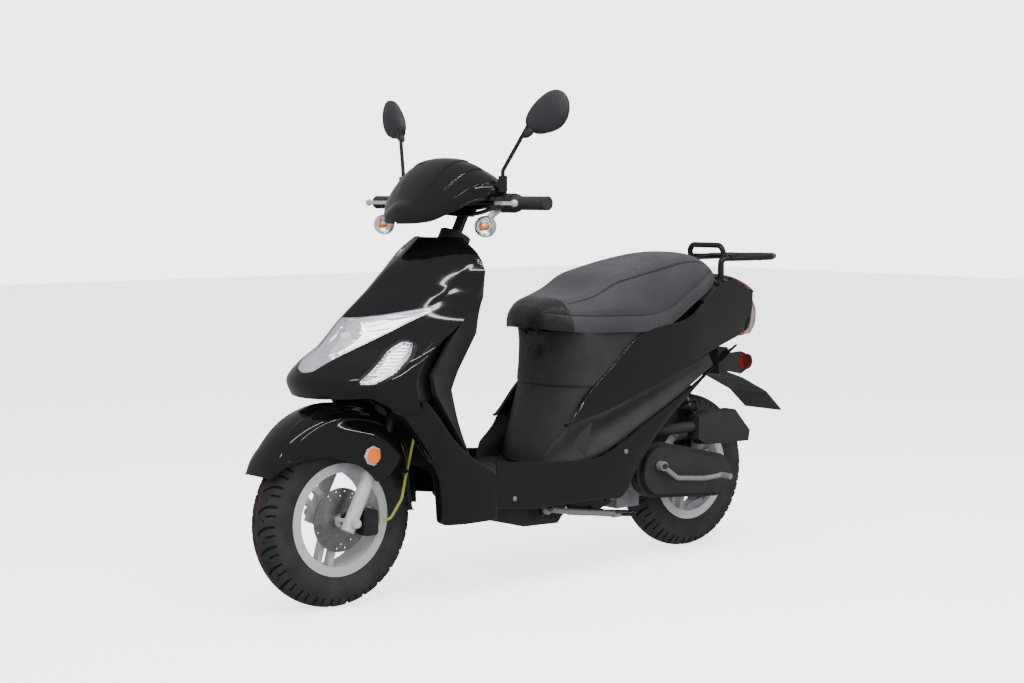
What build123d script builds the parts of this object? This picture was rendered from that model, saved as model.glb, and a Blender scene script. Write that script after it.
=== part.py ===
"""A 50 cc step-through moped scooter, built as an assembly of separate pieces.

Millimetres. +X points forward, +Y to the rider's left, +Z up. The origin is on the ground, at the
middle of the scooter's length and width. Pieces near a wheel are placed from that wheel's axle.
"""
import os
from math import cos, radians, sin

from build123d import *

os.makedirs("parts", exist_ok=True)

# ---- driving dimensions -----------------------------------------------------------------------
overall_length = 1775
wheelbase = 1200
tyre_od = 430
tyre_width = 92
tread_flat = 32
rim_flange_r = 137
bead_seat_r = 126
rim_width = 66
flange_t = 5
rake = 27
fork_offset = 34
leg_spacing = 156
leg_r = 17
stanchion_r = 13.5
stem_r = 14
head_tube_r = 22
axle_r = 6
running_gap = 0.06
axle_length = 196
panel_t = 3
shield_half = 196
skirt_half = 170
tail_half = 152
bar_r = 11
bar_half = 343
grip_r = 16.5
grip_length = 118
lever_half = 293
mirror_half = 366
mirror_toe = 12
disc_od = 155
disc_t = 3.5
disc_y = 34
frame_tube_r = 13
main_tube_r = 20
rack_tube_r = 9
piece_gap = 0.6
motion_gap = 1.5

# ---- where the wheels stand -------------------------------------------------------------------
tyre_r = tyre_od / 2
axle_z = tyre_r
front_x = overall_length / 2 - tyre_r
rear_x = front_x - wheelbase
rack_end_x = -overall_length / 2


def front(dx, h):
    """A point of the centre plane, from the front axle."""
    return (front_x + dx, axle_z + h)


def rear(dx, h):
    """A point of the centre plane, from the rear axle."""
    return (rear_x + dx, axle_z + h)


def side_plane(y):
    """A sketch plane at that y, drawn in x and z, so that extrusions run to the right."""
    return Plane(origin=(0, y, 0), x_dir=(1, 0, 0), z_dir=(0, -1, 0))


def save(part, label):
    """Labels one finished piece and writes its STEP file."""
    part.label = label
    export_step(part, f"parts/{label}.step")


def both_sides(make):
    """The piece that make(+1) gives, with its mirror image, as one group."""
    left = make()
    return Compound(children=[left, left.mirror(Plane.XZ)])


def tube(points, radius, bend):
    """A bent round tube through the points."""
    with BuildPart() as body:
        with BuildLine() as path:
            FilletPolyline(*points, radius=bend)
        with BuildSketch(Plane(origin=path.line @ 0, z_dir=path.line % 0)):
            Circle(radius)
        sweep()
    return body.part


def straight_tube(start, end, radius):
    """A straight round bar between two points."""
    with BuildPart() as body:
        with BuildSketch(Plane(origin=start, z_dir=Vector(*end) - Vector(*start))):
            Circle(radius)
        extrude(amount=(Vector(*end) - Vector(*start)).length)
    return body.part


# ---- the steering axis ------------------------------------------------------------------------
rake_sin, rake_cos = sin(radians(rake)), cos(radians(rake))
steer = Plane(
    origin=(front_x - fork_offset * rake_cos, 0, axle_z - fork_offset * rake_sin),
    x_dir=(rake_cos, 0, rake_sin),
    z_dir=(-rake_sin, 0, rake_cos),
)


def at(u, v, w):
    """A point given ahead of the steering axis, to the left, and up along the axis."""
    return steer.from_local_coords(Vector(u, v, w))


crown_w = 330
crown_t = 26
head_w0, head_w1 = crown_w + crown_t / 2 + 8, crown_w + 235
bar_u, bar_w = 30, 850
bar_centre = at(bar_u, 0, bar_w)
leg_y = leg_spacing / 2


# ---- wheels -----------------------------------------------------------------------------------
def wheel_plane(x):
    """The half-section plane of a wheel: across it, then out from its axle."""
    return Plane(origin=(x, 0, axle_z), x_dir=(0, 1, 0), z_dir=(1, 0, 0))


def tyre_outline(bead_y, wide_y, shoulder_y, shoulder_r, crown_y, crown_r):
    """The filled half-section between two sidewalls, from the beads up to the tread."""
    wide_r = (rim_flange_r + tyre_r) / 2 - 2
    with BuildSketch() as outline:
        with BuildLine():
            Line((-bead_y, bead_seat_r), (bead_y, bead_seat_r))
            Line((bead_y, bead_seat_r), (bead_y, rim_flange_r))
            ThreePointArc((bead_y, rim_flange_r), (wide_y, wide_r), (shoulder_y, shoulder_r))
            Line((shoulder_y, shoulder_r), (crown_y, crown_r))
            Line((crown_y, crown_r), (-crown_y, crown_r))
            Line((-crown_y, crown_r), (-shoulder_y, shoulder_r))
            ThreePointArc((-shoulder_y, shoulder_r), (-wide_y, wide_r), (-bead_y, rim_flange_r))
            Line((-bead_y, rim_flange_r), (-bead_y, bead_seat_r))
        make_face()
    return outline.sketch


def tyre(x):
    """A hollow tubeless tyre with a slightly flattened crown."""
    bead_y = rim_width / 2
    shoulder_y, shoulder_r = tyre_width * 0.40, tyre_r - 12
    wall, tread = 6, 9
    with BuildPart() as body:
        with BuildSketch(wheel_plane(x)):
            add(tyre_outline(bead_y, tyre_width / 2, shoulder_y, shoulder_r, tread_flat / 2, tyre_r))
            add(
                tyre_outline(
                    bead_y - wall, tyre_width / 2 - wall, shoulder_y - wall, shoulder_r - tread,
                    tread_flat / 2 - wall, tyre_r - tread,
                ),
                mode=Mode.SUBTRACT,
            )
        revolve(axis=Axis((x, 0, axle_z), (0, 1, 0)))
    return body.part


hub_r = 30
hub_half = 33
spoke_count = 3
barrel_r = bead_seat_r - 12


def rim(x, hub_left, hub_right, bore_r):
    """A cast rim: a barrel with two flanges, a hub, and three twin-rib spokes."""
    bead_y = rim_width / 2
    spoke_t = 20
    with BuildPart() as body:
        with BuildSketch(wheel_plane(x)):
            with BuildLine():
                Polyline(
                    (-bead_y - flange_t, barrel_r), (bead_y + flange_t, barrel_r),
                    (bead_y + flange_t, rim_flange_r), (bead_y, rim_flange_r), (bead_y, bead_seat_r),
                    (-bead_y, bead_seat_r), (-bead_y, rim_flange_r), (-bead_y - flange_t, rim_flange_r),
                    close=True,
                )
            make_face()
        revolve(axis=Axis((x, 0, axle_z), (0, 1, 0)))
        with BuildSketch(Plane(origin=(x, -hub_right, axle_z), x_dir=(1, 0, 0), z_dir=(0, 1, 0))):
            Circle(hub_r)
        extrude(amount=hub_left + hub_right)
        with BuildSketch(Plane(origin=(x, -spoke_t / 2, axle_z), x_dir=(1, 0, 0), z_dir=(0, 1, 0))):
            with PolarLocations(0, spoke_count, start_angle=75):
                for offset in (-17, 17):
                    with Locations((hub_r / 2 + barrel_r / 2 + 1, offset)):
                        Rectangle(barrel_r - hub_r / 2, 14)
        extrude(amount=spoke_t)
        with BuildSketch(Plane(origin=(x, -hub_right, axle_z), x_dir=(1, 0, 0), z_dir=(0, 1, 0))):
            Circle(bore_r)
        extrude(amount=hub_left + hub_right, mode=Mode.SUBTRACT)
    return body.part


save(tyre(front_x), "front_tyre")
save(tyre(rear_x), "rear_tyre")
save(rim(front_x, disc_y - piece_gap, hub_half, axle_r + running_gap), "front_rim")
rear_shaft_r = 9
save(rim(rear_x, hub_half, hub_half, rear_shaft_r + running_gap), "rear_rim")

disc_hole_r = 2.2
with BuildPart() as brake_disc:
    with BuildSketch(Plane(origin=(front_x, disc_y, axle_z), x_dir=(1, 0, 0), z_dir=(0, 1, 0))):
        Circle(disc_od / 2)
        Circle(hub_r - 12, mode=Mode.SUBTRACT)
        with PolarLocations(disc_od / 2 - 8, 18):
            Circle(disc_hole_r, mode=Mode.SUBTRACT)
        with PolarLocations(disc_od / 2 - 19, 12):
            Circle(disc_hole_r, mode=Mode.SUBTRACT)
    extrude(amount=disc_t)
save(brake_disc.part, "brake_disc")

# ---- fork ------------------------------------------------------------------------------------
leg_top_w = 205
leg_bottom_w = -24
leg_bore_w = 20


def fork_leg():
    """The left lower leg: a bored tube whose foot clamps the axle."""
    with BuildPart() as leg:
        with BuildSketch(steer.offset(leg_bottom_w)):
            with Locations((fork_offset, leg_y)):
                Circle(leg_r)
        extrude(amount=leg_top_w - leg_bottom_w)
        with BuildSketch(steer.offset(leg_bore_w)):
            with Locations((fork_offset, leg_y)):
                Circle(stanchion_r + running_gap)
        extrude(amount=leg_top_w - leg_bore_w, mode=Mode.SUBTRACT)
        with Locations(Plane(origin=(front_x, leg_y, axle_z), x_dir=(1, 0, 0), z_dir=(0, 1, 0))):
            Cylinder(axle_r, 4 * leg_r, mode=Mode.SUBTRACT)
    return leg.part


legs = fork_leg()
with BuildPart() as front_axle:
    with Locations(Plane(origin=(front_x, 0, axle_z), x_dir=(1, 0, 0), z_dir=(0, 1, 0))):
        Cylinder(axle_r, axle_length)
        with Locations((0, 0, axle_length / 2 + 4), (0, 0, -axle_length / 2 - 4)):
            Cylinder(axle_r + 5, 8)
save(Compound(children=[legs, legs.mirror(Plane.XZ), front_axle.part]), "fork_legs")

caliper_angle = 172
caliper_r = disc_od / 2 - 6
caliper_x = front_x + caliper_r * cos(radians(caliper_angle))
caliper_z = axle_z - 12
with BuildPart() as brake_caliper:
    with BuildSketch(Plane(origin=(caliper_x, 0, caliper_z), x_dir=(1, 0, 0), z_dir=(0, 1, 0)).offset(disc_y - 16)):
        RectangleRounded(44, 62, 9)
    extrude(amount=44)
    with BuildSketch(side_plane(disc_y - 1.5).shift_origin((caliper_x, disc_y - 1.5, caliper_z))):
        with Locations((30, 0)):
            Rectangle(100, 90)
    extrude(amount=-(disc_t + 3), mode=Mode.SUBTRACT)
    with BuildSketch(side_plane(disc_y + disc_t + 1.5)):
        with Locations((front_x - 30, axle_z + 2)):
            Rectangle(64, 24)
    extrude(amount=-8)
    with Locations(Plane(origin=(front_x, disc_y, axle_z), x_dir=(1, 0, 0), z_dir=(0, 1, 0))):
        Cylinder(axle_r, 80, mode=Mode.SUBTRACT)
save(brake_caliper.part, "brake_caliper")

hose_r = 3.4
hose_top = at(-44, leg_y + 4, crown_w - 60)
hose_points = [
    (caliper_x - 23.4, disc_y + 20, caliper_z - 6),
    (caliper_x - 60, disc_y + 26, caliper_z + 4),
    (caliper_x - 88, disc_y + 34, caliper_z + 50),
    (caliper_x - 96, disc_y + 40, caliper_z + 106),
    (hose_top.X, hose_top.Y, hose_top.Z),
]
with BuildPart() as brake_hose:
    with BuildLine() as hose_line:
        FilletPolyline(*hose_points, radius=[20, 30, 50])
    with BuildSketch(Plane(origin=hose_line.line @ 0, z_dir=hose_line.line % 0)):
        Circle(hose_r)
    sweep()
save(brake_hose.part, "brake_hose")

# ---- stem, handlebar and what they carry --------------------------------------------------------
with BuildPart() as steering_stem:
    with BuildSketch(steer.offset(crown_w - crown_t / 2)):
        with Locations((fork_offset / 2, 0)):
            RectangleRounded(fork_offset + 2 * head_tube_r, leg_spacing + 2 * stanchion_r + 10, 12)
    extrude(amount=crown_t)
    with BuildSketch(steer.offset(crown_w)):
        Circle(stem_r)
    extrude(amount=bar_w - 10 - crown_w)
    with BuildSketch(steer.offset(leg_bore_w + 40)):
        with Locations((fork_offset, leg_y), (fork_offset, -leg_y)):
            Circle(stanchion_r)
    extrude(amount=crown_w - leg_bore_w - 40)
    with Locations(steer.offset(bar_w)):
        with Locations((bar_u / 2, 0, 0)):
            Box(bar_u + 2 * stem_r, 54, 2 * bar_r + 14)
    with Locations(Plane(origin=bar_centre, x_dir=(1, 0, 0), z_dir=(0, 1, 0))):
        Cylinder(bar_r, 2 * (bar_half - 5))
save(steering_stem.part, "steering_stem")

bar_plane = Plane(origin=bar_centre, x_dir=(1, 0, 0), z_dir=(0, 1, 0))


def grip(side, bore_gap):
    """A ribbed rubber grip, closed at its outer end."""
    outer = bar_half
    with BuildPart() as body:
        with BuildSketch(Plane(origin=bar_centre + Vector(0, side * (outer - grip_length), 0),
                               x_dir=(1, 0, 0), z_dir=(0, side, 0))):
            Circle(grip_r)
        extrude(amount=grip_length)
        with BuildSketch(Plane(origin=bar_centre + Vector(0, side * (outer - grip_length), 0),
                               x_dir=(1, 0, 0), z_dir=(0, side, 0))):
            Circle(bar_r + bore_gap)
        extrude(amount=grip_length - 4.5, mode=Mode.SUBTRACT)
        with BuildSketch(Plane(origin=bar_centre + Vector(0, side * (outer - grip_length), 0),
                               x_dir=(1, 0, 0), z_dir=(0, side, 0))):
            Circle(grip_r + 5)
            Circle(grip_r - 1, mode=Mode.SUBTRACT)
        extrude(amount=5)
    return body.part


save(grip(1, 0), "left_grip")
save(grip(-1, running_gap), "throttle_grip")

housing_y = bar_half - grip_length - piece_gap
housing_length = 44
perch_u = 34
lever_t = 9
pivot_u = perch_u + 2
lever_pin_r = 3
button_pit = 5


def switch_housing():
    """The left switch pod round the bar, with the perch that holds the lever's pivot."""
    with BuildPart() as pod:
        with Locations(bar_plane):
            with Locations((0, 0, housing_y - housing_length / 2 - motion_gap)):
                Cylinder(24, housing_length)
        with Locations(bar_plane):
            with Locations((perch_u - 6, 0, housing_y - 26)):
                Box(40, 30, 24)
            with Locations((perch_u + 4, 0, housing_y - 26)):
                Box(30, lever_t + 2, 40, mode=Mode.SUBTRACT)
            Cylinder(bar_r, 2 * bar_half, mode=Mode.SUBTRACT)
        with Locations((bar_centre.X + pivot_u, housing_y - 26, bar_centre.Z)):
            Cylinder(lever_pin_r, 28)
    return pod.part


pod = switch_housing()


def pit(y, dz, width, height):
    """The pocket that a button slides in, on the rider's side of a pod."""
    return Pos(bar_centre.X - 24 + button_pit / 2, y, bar_centre.Z + dz) * Box(button_pit * 2, width, height)


button_y = housing_y - housing_length / 2 - motion_gap
horn_dz, indicator_dz, starter_dz = -9, 7, -4
left_pod = pod - pit(button_y, horn_dz, 12, 9) - pit(button_y, indicator_dz, 22, 9)
right_pod = pod.mirror(Plane.XZ) - pit(-button_y, starter_dz, 14, 12)
save(Compound(children=[left_pod, right_pod]), "switch_housings")


def button(y, dz, width, height, proud):
    """A rounded key that stands in its pit."""
    x0 = bar_centre.X - 24 + 2.5
    with BuildPart() as key:
        with BuildSketch(Plane(origin=(x0, y, bar_centre.Z + dz), x_dir=(0, 1, 0), z_dir=(-1, 0, 0))):
            RectangleRounded(width, height, 1.5)
        extrude(amount=proud)
    return key.part


save(button(button_y, horn_dz, 11.2, 8.2, 7), "horn_button")
save(button(button_y, indicator_dz, 8, 8.2, 8), "indicator_switch")
save(button(-button_y, starter_dz, 13.2, 11.2, 7), "starter_button")



def brake_lever():
    """The left lever: a flat bar from its pivot eye out to a ball end."""
    pivot = bar_centre + Vector(pivot_u, housing_y - 26, 0)
    tip = bar_centre + Vector(62, lever_half, -14)
    with BuildPart() as lever:
        with BuildSketch(Plane.XY.offset(pivot.Z - lever_t / 2)):
            with Locations((pivot.X, pivot.Y)):
                Circle(7)
            with BuildLine():
                Polyline(
                    (pivot.X - 5, pivot.Y), (pivot.X + 7, pivot.Y), (tip.X + 5, tip.Y - 40),
                    (tip.X + 5, tip.Y), (tip.X - 5, tip.Y), (tip.X - 6, tip.Y - 40), close=True,
                )
            make_face()
        extrude(amount=lever_t)
        with Locations((tip.X, tip.Y, pivot.Z)):
            Sphere(9)
        with Locations(tuple(pivot)):
            Cylinder(lever_pin_r + running_gap, 40, mode=Mode.SUBTRACT)
    return lever.part


left_lever = brake_lever()
save(left_lever, "brake_lever_left")
save(left_lever.mirror(Plane.XZ), "brake_lever_right")

# ---- headset ------------------------------------------------------------------------------------
cowl_stations = [
    # ahead of the bar, half width, half height, centre above the bar
    (192, 26, 13, -47),
    (157, 100, 44, -30),
    (117, 140, 65, -6),
    (62, 172, 73, 26),
]


def cowl_solid(shrink, back):
    """The cowl's outer form, lofted through ellipses; shrink makes the inner form."""
    with BuildPart() as form:
        for ahead, half, high, up in cowl_stations + [(back, 190, 64, 27)]:
            with BuildSketch(Plane.YZ.offset(bar_centre.X + ahead - (shrink if ahead > 150 else 0))):
                with Locations((0, bar_centre.Z + up)):
                    Ellipse(half - shrink, high - shrink)
        loft()
    return form.part


cowl_floor = Pos(bar_centre.X + 60, 0, bar_centre.Z - 62 - 100) * Box(500, 600, 200)
bar_tunnel = Plane(origin=bar_centre, x_dir=(1, 0, 0), z_dir=(0, 1, 0)) * Cylinder(30, 2 * bar_half)
cowl_shell = cowl_solid(0, 2) - cowl_solid(panel_t, -30) - cowl_floor
save(cowl_shell - bar_tunnel, "handlebar_cowl")

panel_back = 54
with BuildPart() as instrument_panel:
    with BuildSketch(Plane.YZ.offset(bar_centre.X - panel_back)):
        with Locations((0, bar_centre.Z + 8)):
            Ellipse(158, 56)
    extrude(amount=panel_t)
    with BuildSketch(Plane.YZ.offset(bar_centre.X - panel_back)):
        with Locations((0, bar_centre.Z + 8)):
            Ellipse(158, 56)
            Ellipse(158 - panel_t, 56 - panel_t, mode=Mode.SUBTRACT)
    extrude(amount=panel_back + 1)
    with BuildSketch(Plane.YZ.offset(bar_centre.X - panel_back)):
        with Locations((0, bar_centre.Z + 16)):
            RectangleRounded(150, 62, 20)
    extrude(amount=-6)
    with BuildSketch(Plane.YZ.offset(bar_centre.X - panel_back - 6)):
        with Locations((0, bar_centre.Z + 16)):
            RectangleRounded(138, 50, 16)
    extrude(amount=4, mode=Mode.SUBTRACT)
with BuildPart() as neck_tunnel:
    with BuildSketch(steer.offset(bar_w - 120)):
        Circle(stem_r + 16)
    extrude(amount=110)
save(instrument_panel.part - bar_tunnel - neck_tunnel.part, "instrument_panel")

signal_y = 205
signal_r = 26
signal_drop = 56


def turn_signal():
    """The left hanging signal: a body and a domed lens, as one ball flattened at the front."""
    centre = bar_centre + Vector(78, signal_y, -signal_drop)
    with BuildPart() as lamp:
        with Locations((centre.X, centre.Y, centre.Z)):
            Sphere(signal_r)
        with Locations((centre.X - 6, centre.Y - 36, centre.Z + 17)):
            Box(16, 70, 13)
    return lamp.part


signal = turn_signal()
save(Compound(children=[signal, signal.mirror(Plane.XZ)]), "turn_signals")

# ---- mirrors --------------------------------------------------------------------------------------
mirror_base = bar_centre + Vector(20, housing_y - 24, 24)
stalk_r = 5
stalk_knee = mirror_base + Vector(0, 0, 54)
head_centre = Vector(bar_centre.X - 28, 303, bar_centre.Z + 217)
stalk_tip = head_centre + Vector(14, -44, -26)
head_w, head_h, head_t = 146, 92, 34


def mirror_stalk():
    """The left stalk: a rubber-booted foot and a bent rod, ending in a ball."""
    foot = mirror_base + Vector(0, 0, 4)
    with BuildPart() as stalk:
        add(straight_tube(tuple(foot + Vector(0, 0, 30)), tuple(stalk_knee), stalk_r))
        add(straight_tube(tuple(stalk_knee), tuple(stalk_tip), stalk_r))
        with Locations(tuple(foot + Vector(0, 0, 19))):
            Cylinder(11, 38)
        with Locations(tuple(stalk_knee)):
            Sphere(stalk_r)
        with Locations(tuple(stalk_tip)):
            Sphere(8)
    return stalk.part


def mirror_head():
    """The left mirror: an egg-shaped shell with a flat glass face, round its ball socket."""
    face = Plane(
        origin=(head_centre.X, head_centre.Y, head_centre.Z),
        x_dir=(-sin(radians(mirror_toe)), cos(radians(mirror_toe)), 0),
        z_dir=(cos(radians(mirror_toe)), sin(radians(mirror_toe)), 0),
    )
    with BuildPart() as head:
        with BuildSketch(face):
            Ellipse(head_w / 2, head_h / 2, rotation=28)
        with BuildSketch(face.offset(head_t * 0.55)):
            Ellipse(head_w / 2 - 12, head_h / 2 - 12, rotation=28)
        with BuildSketch(face.offset(head_t * 0.75)):
            Ellipse(head_w / 2 - 34, head_h / 2 - 26, rotation=28)
        loft()
        with Locations((stalk_tip.X, stalk_tip.Y, stalk_tip.Z)):
            Sphere(13)
            Sphere(8 + 0.3, mode=Mode.SUBTRACT)
        add(straight_tube(tuple(stalk_knee), tuple(stalk_tip), stalk_r + 3), mode=Mode.SUBTRACT)
    return head.part


stalk, head = mirror_stalk(), mirror_head()
save(Compound(children=[stalk, stalk.mirror(Plane.XZ)]), "mirror_stalks")
save(head, "mirror_head_left")
save(head.mirror(Plane.XZ), "mirror_head_right")

# ---- front fender ------------------------------------------------------------------------------------
fender_gap = 50
fender_half = 66


def fender_form(grow):
    """The fender's outer or inner form: a long hood over the wheel, drawn from the side."""
    with BuildPart() as form:
        with BuildSketch(side_plane(fender_half + grow)):
            with BuildLine():
                Polyline(front(-150 - grow, 108 - 60), front(-168 - grow, 190), front(-145, 231 + grow))
                Spline(
                    front(-145, 231 + grow), front(-60, 262 + grow), front(30, 275 + grow), front(130, 236 + grow),
                    front(190, 180 + grow), front(210 + grow, 128),
                )
                Polyline(
                    front(210 + grow, 128), front(60, 150), front(-40, 104), front(-80, 92),
                    front(-150 - grow, 108 - 60),
                )
            make_face()
        extrude(amount=2 * (fender_half + grow))
    return form.part


tyre_room = Pos(front_x, 0, axle_z) * Rot(90, 0, 0) * Cylinder(tyre_r + 9, 2 * (tyre_width / 2 + 8))
fender_front = fender_form(0) - (Pos(0, 0, -panel_t) * fender_form(-panel_t))
leg_slots = Part() + [
    Plane(origin=at(fork_offset, side * leg_y, -30), z_dir=steer.z_dir) * Cylinder(
        leg_r + 5, 700, align=(Align.CENTER, Align.CENTER, Align.MIN))
    for side in (1, -1)
]
front_fender = fender_front - leg_slots - tyre_room
save(front_fender, "front_fender")

amber_size = (30, 4, 18)
amber_x, amber_z = front(-34, 154)
with BuildPart() as fork_reflectors:
    with Locations((amber_x, fender_half + 2.4, amber_z), (amber_x, -fender_half - 2.4, amber_z)):
        Box(*amber_size)
save(fork_reflectors.part, "fork_reflectors")


# ---- body panels ---------------------------------------------------------------------------------
def bowed_form(stations, inset, facing):
    """A lofted hood. Each station is (z, edge x, half width, middle x); inset makes its inner form."""
    with BuildPart() as form:
        for z, edge_x, half, mid_x in stations:
            edge, middle = edge_x - facing * inset * 12, mid_x - facing * inset
            side, shoulder = half - inset, (half - inset) * 0.78
            lift = middle - edge
            with BuildSketch(Plane.XY.offset(z)):
                with BuildLine():
                    Spline(
                        (edge, -side), (edge + lift * 0.48, -shoulder), (edge + lift * 0.9, -side * 0.36),
                        (edge + lift * 0.9, side * 0.36), (edge + lift * 0.48, shoulder), (edge, side),
                    )
                    Line((edge, side), (edge, -side))
                make_face()
        loft(ruled=True)
    return form.part


def bowed_panel(stations, facing):
    """The thin shell between a bowed form and its inner form."""
    with BuildPart() as panel:
        add(bowed_form(stations, 0, facing))
        add(bowed_form(stations, panel_t, facing), mode=Mode.SUBTRACT)
    return panel.part


def window(outline, y0, y1):
    """A tool that cuts sideways through a panel, from an outline in x and z."""
    with BuildPart() as tool:
        with BuildSketch(side_plane(y1)):
            with BuildLine():
                Polyline(*outline, close=True)
            make_face()
        extrude(amount=y1 - y0)
    return tool.part


def face_window(outline, grow):
    """A tool that cuts forward through the nose, from the left half of an outline in y and z."""
    left = [(y + grow if y else 0, z + (grow if top else -grow)) for y, z, top in outline]
    right = [(-y, z) for y, z in reversed(left) if y]
    with BuildPart() as tool:
        with BuildSketch(Plane.YZ.offset(500)):
            with BuildLine():
                Polyline(*left, *right, close=True)
            make_face()
        extrude(amount=400)
    return tool.part


shield_stations = [
    (521, 556, 194, 760), (560, 560, 196, 763), (620, 520, 194, 724), (690, 424, 190, 642),
    (760, 372, 194, 560), (812, 352, 186, 500), (850, 350, 120, 436), (887, 352, 56, 404),
]
lamp_outline = [
    (0, 700, True), (70, 706, True), (128, 718, True), (146, 700, True), (112, 638, False),
    (66, 628, False), (50, 590, False), (28, 573, False), (0, 571, False),
]
position_lamp_outline = [(556, 632), (590, 634), (640, 600), (668, 566), (664, 546), (630, 548), (580, 590)]


def shield_without(cutters):
    """The front shield, less the windows given."""
    with BuildPart() as shield:
        add(bowed_panel(shield_stations, 1))
        for cutter in cutters:
            add(cutter, mode=Mode.SUBTRACT)
    return shield.part


def shield_within(cutters):
    """The part of the shield's surface that fills the windows given."""
    return Compound(children=[piece for cutter in cutters for piece in
                              (bowed_panel(shield_stations, 1) & cutter).solids()])


def lamp_sides(grow):
    """The two position lamp windows."""
    mid_x, mid_z = 612, 590
    outline = [(x + grow * (1 if x > mid_x else -1), z + grow * (1 if z > mid_z else -1))
               for x, z in position_lamp_outline]
    left = window(outline, 100, 240)
    return [left, left.mirror(Plane.XZ)]


save(shield_without([face_window(lamp_outline, piece_gap)] + lamp_sides(piece_gap)), "front_shield")
save(shield_within([face_window(lamp_outline, 0)]), "headlamp_lens")
save(shield_within(lamp_sides(0)), "position_lamps")

lamp_x, lamp_z, bowl_r, bowl_depth = 606, 659, 45, 56
with BuildPart() as headlamp_reflector:
    with BuildSketch(Plane.YZ.offset(lamp_x)):
        with Locations((0, lamp_z)):
            Circle(bowl_r)
    with BuildSketch(Plane.YZ.offset(lamp_x - bowl_depth)):
        with Locations((0, lamp_z)):
            Circle(20)
    loft()
    with BuildSketch(Plane.YZ.offset(lamp_x)):
        with Locations((0, lamp_z)):
            Circle(bowl_r - 2.5)
    with BuildSketch(Plane.YZ.offset(lamp_x - bowl_depth + 3)):
        with Locations((0, lamp_z)):
            Circle(17.5)
    loft(mode=Mode.SUBTRACT)
    with Locations(Plane.YZ.offset(lamp_x - bowl_depth)):
        with Locations((0, lamp_z, 0)):
            Cylinder(8, 30, mode=Mode.SUBTRACT)
save(headlamp_reflector.part, "headlamp_reflector")
with BuildPart() as headlamp_bulb:
    with Locations(Pos(lamp_x - bowl_depth, 0, lamp_z) * Rot(0, 90, 0)):
        Cylinder(7.5, 40)
    with Locations((lamp_x - bowl_depth + 24, 0, lamp_z)):
        Sphere(9)
save(headlamp_bulb.part, "headlamp_bulb")

leg_shield_stations = [
    (296, 340, 162, 306), (385, 398, 165, 329), (515, 500, 190, 351), (560, 512, 191, 322),
    (650, 452, 190, 264), (740, 372, 186, 262), (806, 348, 178, 262),
]
lock_y, lock_z, lock_r = -62, 742, 13
with BuildPart() as inner_leg_shield:
    add(bowed_panel(leg_shield_stations, -1))
    with Locations(Pos(300, lock_y, lock_z) * Rot(0, 90, 0)):
        Cylinder(lock_r + piece_gap, 120, mode=Mode.SUBTRACT)
with BuildPart() as ignition_lock:
    with Locations(Pos(300, lock_y, lock_z) * Rot(0, 90, 0)):
        Cylinder(lock_r, 56)
save(ignition_lock.part, "ignition_lock")
with BuildPart() as stem_cover:
    with BuildSketch(steer.offset(694)):
        Circle(40)
        Circle(40 - panel_t, mode=Mode.SUBTRACT)
    extrude(amount=82)
save(Compound(children=[inner_leg_shield.part, stem_cover.part]), "inner_leg_shield")

lower_outline = [
    (298, 200), (442, 186), (454, 300), (500, 420), (530, 474), (505, 474), (420, 372), (350, 318), (298, 300),
]
wheel_bay = [(470, 150), (424, 150), (426, 300), (470, 420), (496, 500), (560, 500)]
with BuildPart() as lower_leg_cowl:
    add(window(lower_outline, -skirt_half, skirt_half))
    back_outline = [(280, 203), (421, 192), (423, 300), (467, 422), (490, 500), (280, 500)]
    add(window(back_outline, -skirt_half + panel_t, skirt_half - panel_t), mode=Mode.SUBTRACT)
    add(window(wheel_bay, -skirt_half + 14, skirt_half - 14), mode=Mode.SUBTRACT)
save(lower_leg_cowl.part, "lower_leg_cowl")

floor_z, floor_t = 278, 12
floor_front, floor_back, floor_half = 292, -70, 161
groove_count, groove_pitch = 9, 30
with BuildPart() as floorboard:
    with BuildSketch(Plane.XY.offset(floor_z)):
        with Locations(((floor_front + floor_back) / 2, 0)):
            RectangleRounded(floor_front - floor_back, 2 * floor_half, 20)
    extrude(amount=floor_t)
    with BuildSketch(Plane.XY.offset(floor_z)):
        with Locations(((floor_front + floor_back) / 2, 0)):
            RectangleRounded(floor_front - floor_back - 8, 2 * floor_half - 8, 16)
    extrude(amount=floor_t - 5, mode=Mode.SUBTRACT)
    with BuildSketch(Plane.XY.offset(floor_z + floor_t - 1.5)):
        with Locations((190, 0)):
            with GridLocations(0, groove_pitch, 1, groove_count):
                SlotOverall(150, 6)
    extrude(amount=2, mode=Mode.SUBTRACT)
save(floorboard.part, "floorboard")


def plan_band(plan, thickness):
    """A tall wall that follows a plan line given in x and y, with its thickness inward."""
    with BuildPart() as wall:
        with BuildSketch():
            with BuildLine():
                Polyline(*plan, *[(x, y - thickness) for x, y in reversed(plan)], close=True)
            make_face()
        extrude(amount=1000)
    return wall.part


def side_panel(outline, plan, thickness):
    """A left side panel: its outline seen from the side, bent to its plan line."""
    with BuildPart() as panel:
        add(window(outline, 0, 300))
        add(plan_band(plan, thickness), mode=Mode.INTERSECT)
    return panel.part


skirt_outline = [
    (293, 222), (293, 330), (240, 318), (100, 310), (-51, 310), (-140, 340), (-229, 383), (-400, 462),
    (-636, 572), (-600, 548), (-444, 472), (-300, 374), (-201, 272), (-143, 202), (-61, 203), (100, 200),
]
skirt_plan = [(293, 170), (-60, 166), (-230, 158), (-440, 142), (-640, 104)]
skirt = side_panel(skirt_outline, skirt_plan, panel_t)
save(Compound(children=[skirt, skirt.mirror(Plane.XZ)]), "side_skirts")

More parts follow.
